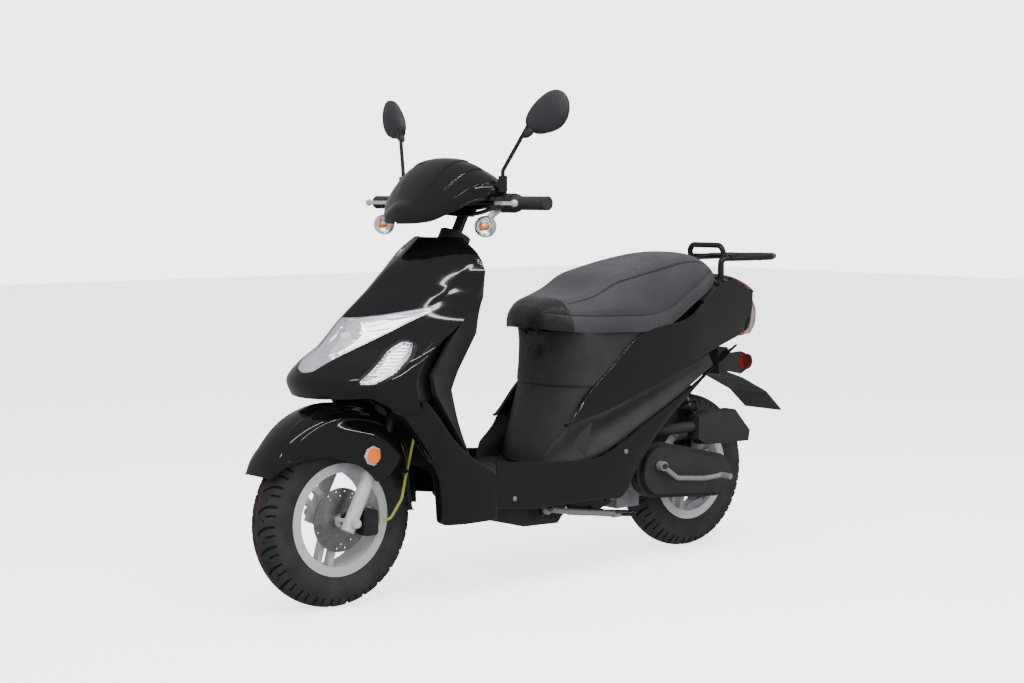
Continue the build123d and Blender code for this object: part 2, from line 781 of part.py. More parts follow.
tail_outline = [
    (26, 636), (24, 491), (44, 400), (-110, 434), (-256, 478), (-416, 530), (-610, 585), (-690, 600), (-728, 716),
    (-620, 750), (-560, 730), (-420, 664), (-330, 630), (-233, 618), (0, 626),
]
tail_plan = [(100, 138), (0, 148), (-230, 150), (-420, 138), (-560, 112), (-650, 92), (-740, 70)]
tail_side = side_panel(tail_outline, tail_plan, panel_t)

rest_outline = [
    (48, 294), (58, 330), (42, 396), (-110, 430), (-256, 474), (-416, 526), (-606, 580), (-622, 570),
    (-400, 466), (-229, 387), (-140, 344), (-51, 314), (0, 294),
]
rest_plan = [(60, 136), (0, 146), (-230, 147), (-420, 134), (-560, 109), (-650, 90)]
rest_side = side_panel(rest_outline, rest_plan, panel_t)

seat_hinge_x, seat_hinge_z = 38, 633
seat_support_stations = [
    (294, 10, 132, 84), (350, 4, 132, 74), (430, -22, 134, 42), (510, -44, 134, 20), (580, -46, 134, 18),
    (634, -40, 134, 26),
]
with BuildPart() as under_seat_cover:
    add(bowed_panel(seat_support_stations, 1))
    with Locations((seat_hinge_x - 14, 0, seat_hinge_z - 3)):
        Box(26, 36, 8)
    with Locations(Pos(seat_hinge_x, 0, seat_hinge_z) * Rot(90, 0, 0)):
        Cylinder(4, 66)
        Cylinder(7, 36)
save(Compound(children=[under_seat_cover.part, rest_side, rest_side.mirror(Plane.XZ)]), "seat_support_panels")

hook_z = 586
with BuildPart() as bag_hook:
    with BuildSketch(side_plane(9)):
        with BuildLine():
            Polyline(
                (17, hook_z + 14), (22, hook_z + 14), (22, hook_z - 8), (36, hook_z - 8), (36, hook_z + 4),
                (41, hook_z + 4), (41, hook_z - 14), (17, hook_z - 14), close=True,
            )
        make_face()
    extrude(amount=18)
    add(bowed_form(seat_support_stations, 0, 1), mode=Mode.SUBTRACT)
save(bag_hook.part, "bag_hook")

belly_outline = [(262, 210), (250, 170), (128, 138), (10, 134), (-16, 162), (-22, 205)]
belly_inner = [(259, 230), (247, 173), (128, 141), (12, 137), (-13, 165), (-19, 230)]
belly_half = 74
with BuildPart() as belly_pan:
    add(window(belly_outline, -belly_half, belly_half))
    add(window(belly_inner, -belly_half + panel_t, belly_half - panel_t), mode=Mode.SUBTRACT)
save(belly_pan.part, "belly_pan")

# ---- frame ---------------------------------------------------------------------------------------
rail_y = 75
floor_tube_z = 232
pivot_x, pivot_z, pivot_r = -170, 180, 8
bracket_y, bracket_t = 66, 6
shock_top_x, shock_top_z = -452, 474
shock_low_x, shock_low_z = -516, 306
stand_x, stand_z = -112, 158
shock_pin_r = 5


def frame_side():
    """The left rail of the frame, from the down tube back under the seat, with its brackets."""
    with BuildPart() as side:
        add(tube(
            [(330, 0, floor_tube_z), (300, rail_y, floor_tube_z), (-60, rail_y, floor_tube_z),
             (-330, rail_y, 482), (-622, rail_y, 597)], frame_tube_r, 30))
        with BuildSketch(side_plane(bracket_y + bracket_t)):
            with BuildLine():
                Polyline((-30, 236), (-30, 150), (-100, 140), (-130, 150), (-182, 166), (-184, 194),
                         (-150, 240), (-100, 262), close=True)
            make_face()
        extrude(amount=bracket_t)
        with BuildSketch(side_plane(rail_y + 17)):
            with BuildLine():
                Polyline((shock_top_x - 14, 530), (shock_top_x - 10, 468.5), (shock_top_x + 10, 468.5),
                         (shock_top_x + 16, 520), close=True)
            make_face()
        extrude(amount=6)
        with Locations(Pos(shock_top_x, rail_y + 5, shock_top_z) * Rot(90, 0, 0)):
            Cylinder(shock_pin_r, 24)
    return side.part


side_pivot = (84, 118, 186)
side_axis = (0, 0.763, 0.646)
side_pin_r = 6
left_rail = frame_side()
with BuildPart() as main_frame:
    with BuildSketch(steer.offset(head_w0)):
        Circle(head_tube_r)
    extrude(amount=head_w1 - head_w0)
    add(tube([tuple(at(0, 0, head_w0 + 70)), (404, 0, 420), (352, 0, 320), (330, 0, floor_tube_z - 4)],
             main_tube_r, 40))
    add(left_rail)
    add(left_rail.mirror(Plane.XZ))
    add(straight_tube((84, 78, 228), (84, 97, 168), 8))
    add(straight_tube((84, 95.9, 167.3), (84, 129, 195.3), side_pin_r))
    for bolt_x, bolt_z in ((pivot_x, pivot_z), (stand_x, stand_z)):
        with Locations(Pos(bolt_x, 0, bolt_z) * Rot(90, 0, 0)):
            Cylinder(pivot_r, 2 * (bracket_y + bracket_t) + 8)
    for cross_x, cross_z in ((-20, floor_tube_z), (180, floor_tube_z), (-612, 593)):
        with Locations(Pos(cross_x, 0, cross_z) * Rot(90, 0, 0)):
            Cylinder(10, 2 * rail_y)
    with BuildSketch(steer.offset(head_w0)):
        Circle(stem_r + running_gap)
    extrude(amount=head_w1 - head_w0, mode=Mode.SUBTRACT)
save(main_frame.part, "main_frame")

# ---- storage, tank, seat ----------------------------------------------------------------------------
bucket = (-246, -36, 108, 470, 606)
with BuildPart() as storage_bucket:
    with BuildSketch(Plane.XY.offset(bucket[3])):
        with Locations(((bucket[0] + bucket[1]) / 2, 0)):
            RectangleRounded(bucket[1] - bucket[0], 2 * bucket[2], 30)
    extrude(amount=bucket[4] - bucket[3])
    with BuildSketch(Plane.XY.offset(bucket[3] + panel_t)):
        with Locations(((bucket[0] + bucket[1]) / 2, 0)):
            RectangleRounded(bucket[1] - bucket[0] - 2 * panel_t, 2 * (bucket[2] - panel_t), 27)
    extrude(amount=bucket[4] - bucket[3], mode=Mode.SUBTRACT)
save(storage_bucket.part, "storage_bucket")
with BuildPart() as fuel_tank:
    with BuildSketch(Plane.XY.offset(524)):
        with Locations((-400, 0)):
            RectangleRounded(250, 112, 24)
    extrude(amount=84)
    with Locations((-330, 0, 612)):
        Cylinder(22, 8)
    with Locations((-330, 0, 621)):
        Cylinder(27, 12)
save(fuel_tank.part, "fuel_tank")

seat_top = [(80, 664), (74, 690), (52, 708), (20, 718), (-40, 729), (-95, 745), (-135, 782), (-220, 806),
            (-340, 826),
            (-456, 834), (-540, 812), (-588, 776), (-601, 752)]
seat_bottom = [(78, 650), (50, 643), (-60, 634), (-233, 630), (-330, 646), (-430, 690), (-560, 744)]
seat_plan = [(80, 34), (66, 64), (40, 94), (4, 118), (-50, 136), (-100, 146), (-233, 151), (-360, 138),
             (-470, 112), (-560, 84), (-601, 50)]


def seat_form(outline, inset):
    """The seat's block: its side outline within its plan outline."""
    plan = [(x + (-inset if x > 0 else inset), y - inset) for x, y in seat_plan]
    with BuildPart() as block:
        with BuildSketch():
            with BuildLine():
                Polyline(*plan, *[(x, -y) for x, y in reversed(plan)], close=True)
            make_face()
        extrude(amount=1000)
        add(window(outline, -200, 200), mode=Mode.INTERSECT)
    return block.part


pan_t = 8
pan_outline = seat_bottom + [(x, z + pan_t) for x, z in reversed(seat_bottom)]
with BuildPart() as seat_cushion:
    add(seat_form(seat_top + list(reversed(seat_bottom)), 0))
    add(seat_form([(400, 600)] + [(x, z + pan_t + piece_gap) for x, z in seat_bottom] + [(-900, 760), (-900, 600)],
                  8), mode=Mode.SUBTRACT)
save(seat_cushion.part, "seat_cushion")
with BuildPart() as seat_pan:
    add(seat_form(pan_outline, 8 + piece_gap))
    for side in (1, -1):
        with Locations(Pos(seat_hinge_x, side * 25, seat_hinge_z) * Rot(90, 0, 0)):
            Cylinder(7, 12)
        with Locations((seat_hinge_x, side * 25, seat_hinge_z + 7)):
            Box(10, 12, 8)
    with Locations(Pos(seat_hinge_x, 0, seat_hinge_z) * Rot(90, 0, 0)):
        Cylinder(4 + running_gap, 80, mode=Mode.SUBTRACT)
save(seat_pan.part, "seat_pan")

# ---- rear carrier and lamps --------------------------------------------------------------------------
deck_z = 812
foot_x = -616
rack_side = [(foot_x, 62, 700), (foot_x, 62, deck_z), (-700, 84, deck_z), (-800, 84, deck_z),
             (rack_end_x + rack_tube_r, 26, deck_z)]
with BuildPart() as rear_rack:
    add(tube(rack_side + [(x, -y, z) for x, y, z in reversed(rack_side)], rack_tube_r, 16))
    for bar_x in (-650, -730, -800):
        with Locations((bar_x, 0, deck_z + 7)):
            Box(24, 164, 6)
    with Locations((-690, 0, deck_z + 4)):
        Box(190, 30, 6)
    for hole_x in (-650, -730):
        for hole_y in (-50, 50):
            with Locations((hole_x, hole_y, deck_z)):
                Cylinder(3.3, 20, mode=Mode.SUBTRACT)
    add(tube([(-624, 64, deck_z + 2), (-620, 64, 848), (-620, -64, 848), (-624, -64, deck_z + 2)], 8, 20))
save(rear_rack.part, "rear_rack")

lamp_stations = [(592, -640, 84, -764), (628, -648, 84, -792), (690, -676, 74, -779), (712, -690, 68, -766)]
with BuildPart() as tail_lamp:
    add(bowed_panel(lamp_stations, -1))
save(tail_lamp.part, "tail_lamp")
with BuildPart() as tail_top:
    add(window([(-606, 750), (-620, 756), (-700, 745), (-748, 722), (-740, 716), (-696, 735), (-620, 746),
                (-606, 740)], -62, 62))
    with Locations((foot_x, 62, 740), (foot_x, -62, 740)):
        Cylinder(rack_tube_r + 2, 80, mode=Mode.SUBTRACT)
save(Compound(children=[tail_side, tail_side.mirror(Plane.XZ), tail_top.part]), "tail_panels")

flap_outline = [
    (-596, 560), (-604, 486), (-700, 464), (-800, 418), (-868, 362), (-870, 366), (-803, 424), (-702, 470),
    (-640, 490), (-640, 560),
]
reflector_x, reflector_z, reflector_r = -716, 515, 22
with BuildPart() as mudflap:
    add(window(flap_outline, -70, 70))
    add(window([(-600, 500), (-700, 480), (-742, 500), (-742, 530), (-700, 545), (-600, 540)], 60, 66))
    add(window([(-600, 500), (-700, 480), (-742, 500), (-742, 530), (-700, 545), (-600, 540)], -66, -60))
save(mudflap.part, "mudflap")
with BuildPart() as rear_reflectors:
    for side in (1, -1):
        with Locations(Pos(reflector_x, side * 70.6, reflector_z) * Rot(90, 0, 0)):
            Cylinder(reflector_r, 8)
save(rear_reflectors.part, "rear_reflectors")

# ---- engine and swing arm ------------------------------------------------------------------------------
case_y0, case_y1, cover_y1 = 58, 100, 148
clutch = (-300, 250, 76)
drive = (rear_x, axle_z, 60)


def belt_outline(shrink):
    """The long egg outline round the clutch end and the axle end."""
    with BuildSketch() as outline:
        with Locations((clutch[0], clutch[1])):
            Circle(clutch[2] - shrink)
        with Locations((drive[0], drive[1])):
            Circle(drive[2] - shrink)
        make_hull()
    return outline.sketch


def belt_slab(shrink, y0, y1):
    """A slab of that outline between two y values."""
    with BuildPart() as slab:
        with BuildSketch(side_plane(y1)):
            add(belt_outline(shrink))
        extrude(amount=y1 - y0)
    return slab.part


brake_x, brake_z = -505, 147
with BuildPart() as brake_shaft:
    with Locations(Pos(brake_x, 96, brake_z) * Rot(90, 0, 0)):
        Cylinder(5, 36)
    with Locations(Pos(brake_x, 79, brake_z) * Rot(90, 0, 0)):
        Cylinder(14, 40)
    add(belt_slab(-0.4, case_y1 - piece_gap, 120), mode=Mode.SUBTRACT)
with BuildPart() as crankcase:
    add(belt_slab(0, case_y0, case_y1 - piece_gap))
    with Locations((-262, 0, 218)):
        Box(84, 2 * case_y0 - 4, 150)
    with Locations((-262, 54, 226)):
        Box(72, 20, 100)
    with Locations((-280, 0, 324)):
        Box(50, 44, 64)
    with Locations((-170, 0, 262)):
        Box(104, 100, 62)
    with Locations((-200, 0, 180)):
        Box(56, 96, 26)
    with Locations(Pos(pivot_x, 0, pivot_z) * Rot(90, 0, 0)):
        Cylinder(16, 112)
    with Locations((shock_low_x, 60, shock_low_z - 17)):
        Box(20, 6, 50)
    with Locations(Pos(shock_low_x, 73, shock_low_z) * Rot(90, 0, 0)):
        Cylinder(shock_pin_r, 26)
    add(brake_shaft.part)
    with Locations(Pos(rear_x, 0, axle_z) * Rot(90, 0, 0)):
        Cylinder(rear_shaft_r, 2 * case_y0 + 8)
    with Locations(Pos(pivot_x, 0, pivot_z) * Rot(90, 0, 0)):
        Cylinder(pivot_r + running_gap, 200, mode=Mode.SUBTRACT)
save(crankcase.part, "crankcase")

kick_x, kick_z = -289, 265
with BuildPart() as cvt_cover:
    add(belt_slab(0, case_y1, cover_y1 - 18))
    add(belt_slab(12, case_y1, cover_y1))
    with Locations(Pos(kick_x, cover_y1 + 4, kick_z) * Rot(90, 0, 0)):
        Cylinder(7, 44)
save(cvt_cover.part, "cvt_cover")
with BuildPart() as kick_lever:
    with Locations(Pos(kick_x, cover_y1 + 12, kick_z) * Rot(90, 0, 0)):
        Cylinder(13, 18)
    add(tube([(kick_x, cover_y1 + 14, kick_z), (-340, cover_y1 + 20, 228), (-440, cover_y1 + 26, 218),
              (-500, cover_y1 + 34, 222)], 6.5, 16))
    with Locations(Pos(-498, cover_y1 + 48, 222) * Rot(90, 0, 0)):
        Cylinder(8, 40)
    with Locations(Pos(kick_x, cover_y1, kick_z) * Rot(90, 0, 0)):
        Cylinder(7 + running_gap, 60, mode=Mode.SUBTRACT)
save(kick_lever.part, "kick_lever")

with BuildPart() as air_filter_box:
    with BuildSketch(side_plane(142)):
        with BuildLine():
            Polyline((-448, 322), (-450, 384), (-594, 394), (-656, 330), (-650, 300), (-480, 304), close=True)
        make_face()
    extrude(amount=42)
save(air_filter_box.part, "air_filter_box")
save(tube([(-285, 22.6, 346), (-285, 76, 347), (-345, 112, 353), (-445, 118, 354)], 15, 24), "intake_bellows")
with BuildPart() as exhaust:
    add(tube([(-272, -56.5, 200), (-272, -108, 200), (-420, -108, 210)], 12, 24))
    with BuildSketch(Plane.YZ.offset(-400)):
        with Locations((-108, 212)):
            Circle(34)
    with BuildSketch(Plane.YZ.offset(-690)):
        with Locations((-108, 262)):
            Circle(46)
    loft()
save(exhaust.part, "exhaust")
with BuildPart() as rear_brake_arm:
    with BuildSketch(side_plane(110)):
        with BuildLine():
            Polyline((brake_x - 9, brake_z), (brake_x, brake_z + 9), (-440, 138), (-438, 126), (brake_x, brake_z - 9),
                     close=True)
        make_face()
        with Locations((brake_x, brake_z)):
            Circle(9)
            Circle(5 + running_gap, mode=Mode.SUBTRACT)
    extrude(amount=6)
save(rear_brake_arm.part, "rear_brake_arm")

# ---- rear shock ------------------------------------------------------------------------------------------
shock_length = ((shock_top_x - shock_low_x) ** 2 + (shock_top_z - shock_low_z) ** 2) ** 0.5
shock_dir = ((shock_top_x - shock_low_x) / shock_length, 0, (shock_top_z - shock_low_z) / shock_length)
shock_y = 76
shock_stroke = 42
shock_barrel = 88
shock_low = Plane(origin=(shock_low_x, shock_y, shock_low_z), x_dir=(0, 1, 0), z_dir=shock_dir)


def eye(x, z, bore):
    """A mounting eye across the shock."""
    with BuildPart() as ring:
        with Locations(Pos(x, shock_y, z) * Rot(90, 0, 0)):
            Cylinder(11, 16)
            Cylinder(bore, 30, mode=Mode.SUBTRACT)
    return ring.part


with BuildPart() as shock_body:
    add(eye(shock_low_x, shock_low_z, 7))
    with BuildSketch(shock_low.offset(7)):
        Circle(7)
    extrude(amount=12)
    with BuildSketch(shock_low.offset(16)):
        Circle(15)
    extrude(amount=shock_barrel)
    with BuildSketch(shock_low.offset(28)):
        Circle(5 + running_gap)
    extrude(amount=shock_barrel, mode=Mode.SUBTRACT)
    with BuildSketch(shock_low.offset(22)):
        Circle(21)
        Circle(13, mode=Mode.SUBTRACT)
    extrude(amount=4)
save(shock_body.part, "shock_body")
with BuildPart() as shock_rod:
    add(eye(shock_top_x, shock_top_z, 5 + running_gap))
    with BuildSketch(shock_low.offset(28 + shock_stroke)):
        Circle(5)
    extrude(amount=shock_length - 38 - shock_stroke)
    with BuildSketch(shock_low.offset(shock_length - 27)):
        Circle(21)
    extrude(amount=8)
save(shock_rod.part, "shock_rod")
coil_r, wire_r, turns = 18.5, 3, 6
with BuildPart() as coil_wire:
    with BuildLine() as coil:
        Helix(pitch=(shock_length - 65) / turns, height=shock_length - 65, radius=coil_r)
    with BuildSketch(Plane(origin=coil.line @ 0, z_dir=coil.line % 0)):
        Circle(wire_r)
    sweep()
with BuildPart() as shock_spring:
    with Locations(shock_low.offset(31)):
        add(coil_wire.part)
save(shock_spring.part, "shock_spring")

# ---- stands -------------------------------------------------------------------------------------------------
with BuildPart() as centre_stand:
    for side in (1, -1):
        add(tube([(stand_x, side * 52, stand_z), (stand_x - 60, side * 58, stand_z - 20),
                  (stand_x - 142, side * 92, stand_z - 26)], 9, 20))
        with Locations(Pos(stand_x, side * 52, stand_z) * Rot(90, 0, 0)):
            Cylinder(15, 24)
    with Locations(Pos(stand_x - 40, 0, stand_z - 14) * Rot(90, 0, 0)):
        Cylinder(7, 112)
    with Locations(Pos(stand_x, 0, stand_z) * Rot(90, 0, 0)):
        Cylinder(pivot_r + running_gap, 200, mode=Mode.SUBTRACT)
save(centre_stand.part, "centre_stand")
with BuildPart() as side_stand:
    add(tube([side_pivot, (40, 120, 176), (-147, 122, 146)], 8, 30))
    with Locations(Plane(origin=side_pivot, z_dir=side_axis)):
        Cylinder(14, 14)
        Cylinder(side_pin_r + running_gap, 60, mode=Mode.SUBTRACT)
    with Locations((-150, 122, 143)):
        Box(26, 24, 8)
save(side_stand.part, "side_stand")
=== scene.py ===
# %% [markdown]
# A step-through moped scooter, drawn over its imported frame. The frame gives the bodies, the joints and
# every hard part at its true size, in metres: +X is forward, +Y is the rider's left and +Z is up. The
# whole scooter could be modelled from nothing, but starting from the frame keeps each new piece where the
# real one sits, so every joint still turns about its true axis.

from math import cos, pi, radians, sin

import bpy
import numpy as np
from mathutils import Matrix, Vector


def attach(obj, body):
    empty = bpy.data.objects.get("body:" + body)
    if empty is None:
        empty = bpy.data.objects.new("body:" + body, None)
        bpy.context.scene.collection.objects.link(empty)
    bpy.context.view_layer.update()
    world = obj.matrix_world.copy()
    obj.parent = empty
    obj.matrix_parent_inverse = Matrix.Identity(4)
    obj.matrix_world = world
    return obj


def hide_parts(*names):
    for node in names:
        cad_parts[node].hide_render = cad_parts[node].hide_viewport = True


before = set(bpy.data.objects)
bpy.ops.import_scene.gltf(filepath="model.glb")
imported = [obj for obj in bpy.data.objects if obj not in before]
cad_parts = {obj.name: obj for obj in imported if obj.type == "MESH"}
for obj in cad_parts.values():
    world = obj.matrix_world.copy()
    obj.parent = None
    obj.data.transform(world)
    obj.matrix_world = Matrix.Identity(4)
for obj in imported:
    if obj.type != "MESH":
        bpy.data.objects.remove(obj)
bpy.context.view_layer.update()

# %% [markdown]
# Paint, plastic and rubber are never one flat value. Their changes could be wired by hand in the node
# editor, but a long chain of Math nodes is hard to read, so here it reads like ordinary sums. A `Field`
# wraps one output socket, and its operators add the Math nodes behind it.


# %% Shader maths
class Field:
    """One value that varies over a surface, as an output socket of a material's node tree."""

    def __init__(self, socket):
        self.socket, self.tree = socket, socket.id_data

    def node(self, kind, inputs=(), output=0, **settings):
        """Adds any node, sets it up, links or sets its inputs and gives one output as a Field."""
        made = self.tree.nodes.new(kind)
        for key, value in settings.items():
            setattr(made, key, value)
        for key, value in dict(inputs).items():
            if isinstance(value, Field):
                self.tree.links.new(value.socket, made.inputs[key])
            else:
                made.inputs[key].default_value = value
        return Field(made.outputs[output])

    def _maths(self, operation, first, second=0.0):
        return self.node("ShaderNodeMath", {0: first, 1: second}, operation=operation)

    def __add__(self, other):
        return self._maths("ADD", self, other)

    def __radd__(self, other):
        return self._maths("ADD", other, self)

    def __sub__(self, other):
        return self._maths("SUBTRACT", self, other)

    def __rsub__(self, other):
        return self._maths("SUBTRACT", other, self)

    def __mul__(self, other):
        return self._maths("MULTIPLY", self, other)

    def __rmul__(self, other):
        return self._maths("MULTIPLY", other, self)

    def __pow__(self, other):
        return self._maths("POWER", self, other)

    def sine(self):
        return self.node("ShaderNodeMath", {0: self}, operation="SINE")

    def ramp(self, low, high, start=0.0, end=1.0):
        """Runs from start to end as this field goes from low to high, and holds outside."""
        return self.node(
            "ShaderNodeMapRange",
            {"Value": self, "From Min": low, "From Max": high, "To Min": start, "To Max": end},
        )

    def blend(self, first, second):
        """A colour between two, by this field."""
        mix = self.tree.nodes.new("ShaderNodeMix")
        mix.data_type = "RGBA"
        self.tree.links.new(self.socket, mix.inputs[0])
        for place, colour in ((6, first), (7, second)):
            if isinstance(colour, Field):
                self.tree.links.new(colour.socket, mix.inputs[place])
            else:
                mix.inputs[place].default_value = (*colour, 1)
        return Field(mix.outputs[2])


print("sums on sockets ready")

# %% [markdown]
# Each finish of the scooter is one Principled shader. This class makes it, sets its constants and offers
# the patterns that plastics and metals need. All patterns read Object coordinates, which stay with a
# piece as its body moves.


# %% One material
class Finish:
    """A material with one Principled shader, built up by its own Fields."""

    def __init__(self, name, **constants):
        self.material = bpy.data.materials.new(name)
        self.material.use_nodes = True
        self.tree = self.material.node_tree
        self.shader = self.tree.nodes["Principled BSDF"]
        for key, value in constants.items():
            socket = self.shader.inputs[key.replace("_", " ").title().replace("Ior", "IOR")]
            socket.default_value = (*value, 1) if isinstance(value, tuple) else value
        coords = self.tree.nodes.new("ShaderNodeTexCoord")
        self.place = Field(coords.outputs["Object"])

    def noise(self, scale, detail=3.0, roughness=0.5, stretch=None):
        """Cloudy noise at a scale per metre, stretched along an axis if asked."""
        place = self.place
        if stretch:
            place = place.node("ShaderNodeVectorMath", {0: place, 1: stretch}, operation="MULTIPLY")
        return place.node(
            "ShaderNodeTexNoise",
            {"Vector": place, "Scale": scale, "Detail": detail, "Roughness": roughness},
        )

    def cells(self, scale):
        """Distance to the nearest of scattered points."""
        return self.place.node("ShaderNodeTexVoronoi", {"Vector": self.place, "Scale": scale})

    def part(self, axis):
        """One coordinate of the place on the piece, in metres."""
        split = self.tree.nodes.new("ShaderNodeSeparateXYZ")
        self.tree.links.new(self.place.socket, split.inputs[0])
        return Field(split.outputs["XYZ".index(axis)])

    def stored(self, name):
        """A value kept at each point of the piece by the modelling."""
        return self.place.node("ShaderNodeAttribute", attribute_name=name, output="Fac")

    def set(self, name, field):
        self.tree.links.new(field.socket, self.shader.inputs[name])
        return self

    def bump(self, height, distance, strength=1.0):
        """Raises the surface by height times distance, in metres."""
        made = height.node(
            "ShaderNodeBump", {"Height": height, "Distance": distance, "Strength": strength}
        )
        self.tree.links.new(made.socket, self.shader.inputs["Normal"])
        return self


print("shader maths ready")

# %% [markdown]
# The scooter's panels are moulded plastic of three kinds: gloss black under a clear skin, grained matte
# black and a smoother satin black. Each could be one dark value, but a real panel carries smudges and a
# fine grain, so noise moves the roughness a little and scattered cells raise the surface.


# %% Body plastics
def gloss_black():
    finish = Finish("gloss_black", base_color=(0.0035, 0.0035, 0.0042), coat_weight=0.6,
                    coat_roughness=0.02)
    smudges = finish.noise(9, 4)
    finish.set("Roughness", smudges.ramp(0.35, 0.75, 0.06, 0.13))
    return finish.bump(finish.noise(160, 2), 0.00004, 0.25).material


def grained(name, colour, roughness, grain=0.00018, scale=1500):
    finish = Finish(name, base_color=colour)
    cloud = finish.noise(14, 4)
    low, high = tuple(c * 0.86 for c in colour), tuple(c * 1.18 for c in colour)
    finish.set("Base Color", cloud.ramp(0.3, 0.7).blend(low, high))
    finish.set("Roughness", finish.noise(40, 3).ramp(0.3, 0.7, roughness - 0.06, roughness + 0.07))
    return finish.bump(finish.cells(scale), grain, 0.45).material


print("body plastics ready")

# %% [markdown]
# The seat cover is grained vinyl with a glossier nose patch, a ribbed band along the bottom and sewn
# seams. The pattern could be laid on from the side, but it would slide where the cushion bends. So the
# cushion's mesh keeps three values at its points, and the finish reads those.

# %% Seat vinyl
seat_band, rib_pitch = 0.043, 0.0055  # the ribbed band's height above the seat's bottom edge


def seat_vinyl():
    """Grained vinyl with a glossier nose patch, a ribbed band along the bottom and stitched seams."""
    finish = Finish("seat_vinyl", sheen_weight=0.05)
    rise, seam, nose = (finish.stored(name) for name in ("rise", "seam", "nose"))
    cloud = finish.noise(11, 5)
    plain = cloud.ramp(0.3, 0.7).blend((0.026, 0.027, 0.030), (0.036, 0.037, 0.041))
    patch = nose.ramp(-0.001, 0.001)
    dark = seam.ramp(0.0008, 0.0022, 1.0, 0.0)
    finish.set("Base Color", dark.blend(patch.blend(plain, (0.010, 0.010, 0.011)), (0.008, 0.008, 0.009)))
    finish.set("Roughness", patch * -0.16 + finish.noise(60, 3).ramp(0.3, 0.7, 0.42, 0.54))
    ribs = (finish.part("X") * (2 * pi / rib_pitch)).sine()
    ribs = ribs * rise.ramp(seat_band - 0.003, seat_band, 1.0, 0.0) * (1 - patch)
    grain = finish.cells(620) * 0.25 + finish.cells(1300) * 0.1
    return finish.bump(grain + ribs * 0.35 + seam.ramp(0.0, 0.004, -1.2, 0.0), 0.0012, 0.6).material


print("seat vinyl ready")

# %% [markdown]
# The tyres are dusty black rubber with a thin red line round the middle of the tread. Where the mesh is
# sunk into a groove it stores a 1, and painted shade darkens the rubber there. Grips and bellows wear a
# plainer rubber with no dust.


# %% Rubber
def tyre_rubber():
    finish = Finish("tyre_rubber")
    dust = finish.noise(22, 5)
    plain = dust.ramp(0.4, 0.75).blend((0.017, 0.017, 0.019), (0.030, 0.030, 0.031))
    side = finish.part("Y")
    line = (side * side).ramp(0.0012**2, 0.0018**2, 0.75, 0.0)
    marked = line.blend(plain, (0.16, 0.012, 0.012))
    # The sunk grooves get a near-black colour: painted shade for their hollows.
    finish.set("Base Color", finish.stored("groove").ramp(0.2, 0.8).blend(marked, (0.004, 0.004, 0.004)))
    finish.set("Roughness", dust.ramp(0.3, 0.7, 0.58, 0.78))
    return finish.bump(finish.noise(900, 3), 0.0002, 0.4).material


def rubber():
    finish = Finish("rubber", base_color=(0.02, 0.02, 0.021))
    finish.set("Roughness", finish.noise(50, 3).ramp(0.3, 0.7, 0.5, 0.66))
    return finish.bump(finish.noise(1200, 2), 0.00015, 0.4).material


print("rubbers ready")

# %% [markdown]
# Wheels and fork legs wear silver paint with a fine flake, the levers and rim lips are polished, the
# brake disc is turned steel and the engine is cast alloy. Bright metals differ only in colour, roughness
# and the run of their marks, so one function makes them all. The disc's rings follow the distance from
# the axle, as a lathe leaves them.

# %% Metals and paint
wheel_x, rear_wheel_x, axle_z = 0.6725, -0.5275, 0.215


def silver_paint():
    finish = Finish("silver_paint", metallic=0.4, coat_weight=0.35, coat_roughness=0.08)
    flake = finish.cells(3200)
    finish.set("Base Color", flake.ramp(0.1, 0.6).blend((0.46, 0.47, 0.49), (0.62, 0.63, 0.65)))
    finish.set("Roughness", finish.noise(30, 3).ramp(0.3, 0.7, 0.26, 0.36))
    return finish.bump(flake, 0.00005, 0.2).material


def bright_metal(name, colour, roughness, lines=None, metallic=0.75):
    finish = Finish(name, metallic=metallic, base_color=colour)
    marks = finish.noise(60, 4, stretch=lines) if lines else finish.noise(45, 5)
    finish.set("Roughness", marks.ramp(0.3, 0.7, roughness * 0.75, roughness * 1.4))
    return finish.bump(marks, 0.00008, 0.2).material


def disc_steel():
    """Turned steel: fine rings round the axle, a little browned between the holes."""
    finish = Finish("disc_steel", metallic=1.0)
    across, up = finish.part("X") - wheel_x, finish.part("Z") - axle_z
    radius = (across * across + up * up) ** 0.5
    rings = (radius * 9000).sine()
    finish.set("Base Color", finish.noise(50, 3).ramp(0.35, 0.7).blend((0.5, 0.5, 0.5), (0.36, 0.35, 0.34)))
    finish.set("Roughness", rings.ramp(-1, 1, 0.24, 0.4))
    return finish.bump(rings, 0.00004, 0.4).material


def cast_alloy(name, colour):
    finish = Finish(name, metallic=0.55)
    patches = finish.noise(30, 5)
    low, high = tuple(c * 0.8 for c in colour), tuple(c * 1.2 for c in colour)
    finish.set("Base Color", patches.ramp(0.3, 0.7).blend(low, high))
    finish.set("Roughness", patches.ramp(0.3, 0.7, 0.42, 0.6))
    return finish.bump(finish.noise(700, 4), 0.0003, 0.5).material


def tube_paint():
    finish = Finish("tube_paint", base_color=(0.008, 0.008, 0.009), coat_weight=0.4, coat_roughness=0.08)
    finish.set("Roughness", finish.noise(80, 3).ramp(0.3, 0.7, 0.2, 0.32))
    return finish.bump(finish.noise(300, 2), 0.0001, 0.3).material


print("metals ready")

# %% [markdown]
# The lamps have clear, red and fluted lenses, and the fork carries amber prism reflectors. The ribs
# inside a lens could be cut one by one, but a sine wave behind the normal gives the same sparkle with far
# fewer faces.


# %% Lamp lenses
def lens(name, colour, flutes=None, depth=0.0006):
    """A moulded lamp lens, with optic ribs across one axis if asked."""
    finish = Finish(name, base_color=colour, transmission_weight=1.0, ior=1.46)
    finish.set("Roughness", finish.noise(90, 2).ramp(0.3, 0.7, 0.02, 0.06))
    if flutes:
        axis, pitch = flutes
        finish.bump((finish.part(axis) * (2 * pi / pitch)).sine(), depth, 0.7)
    return finish.material


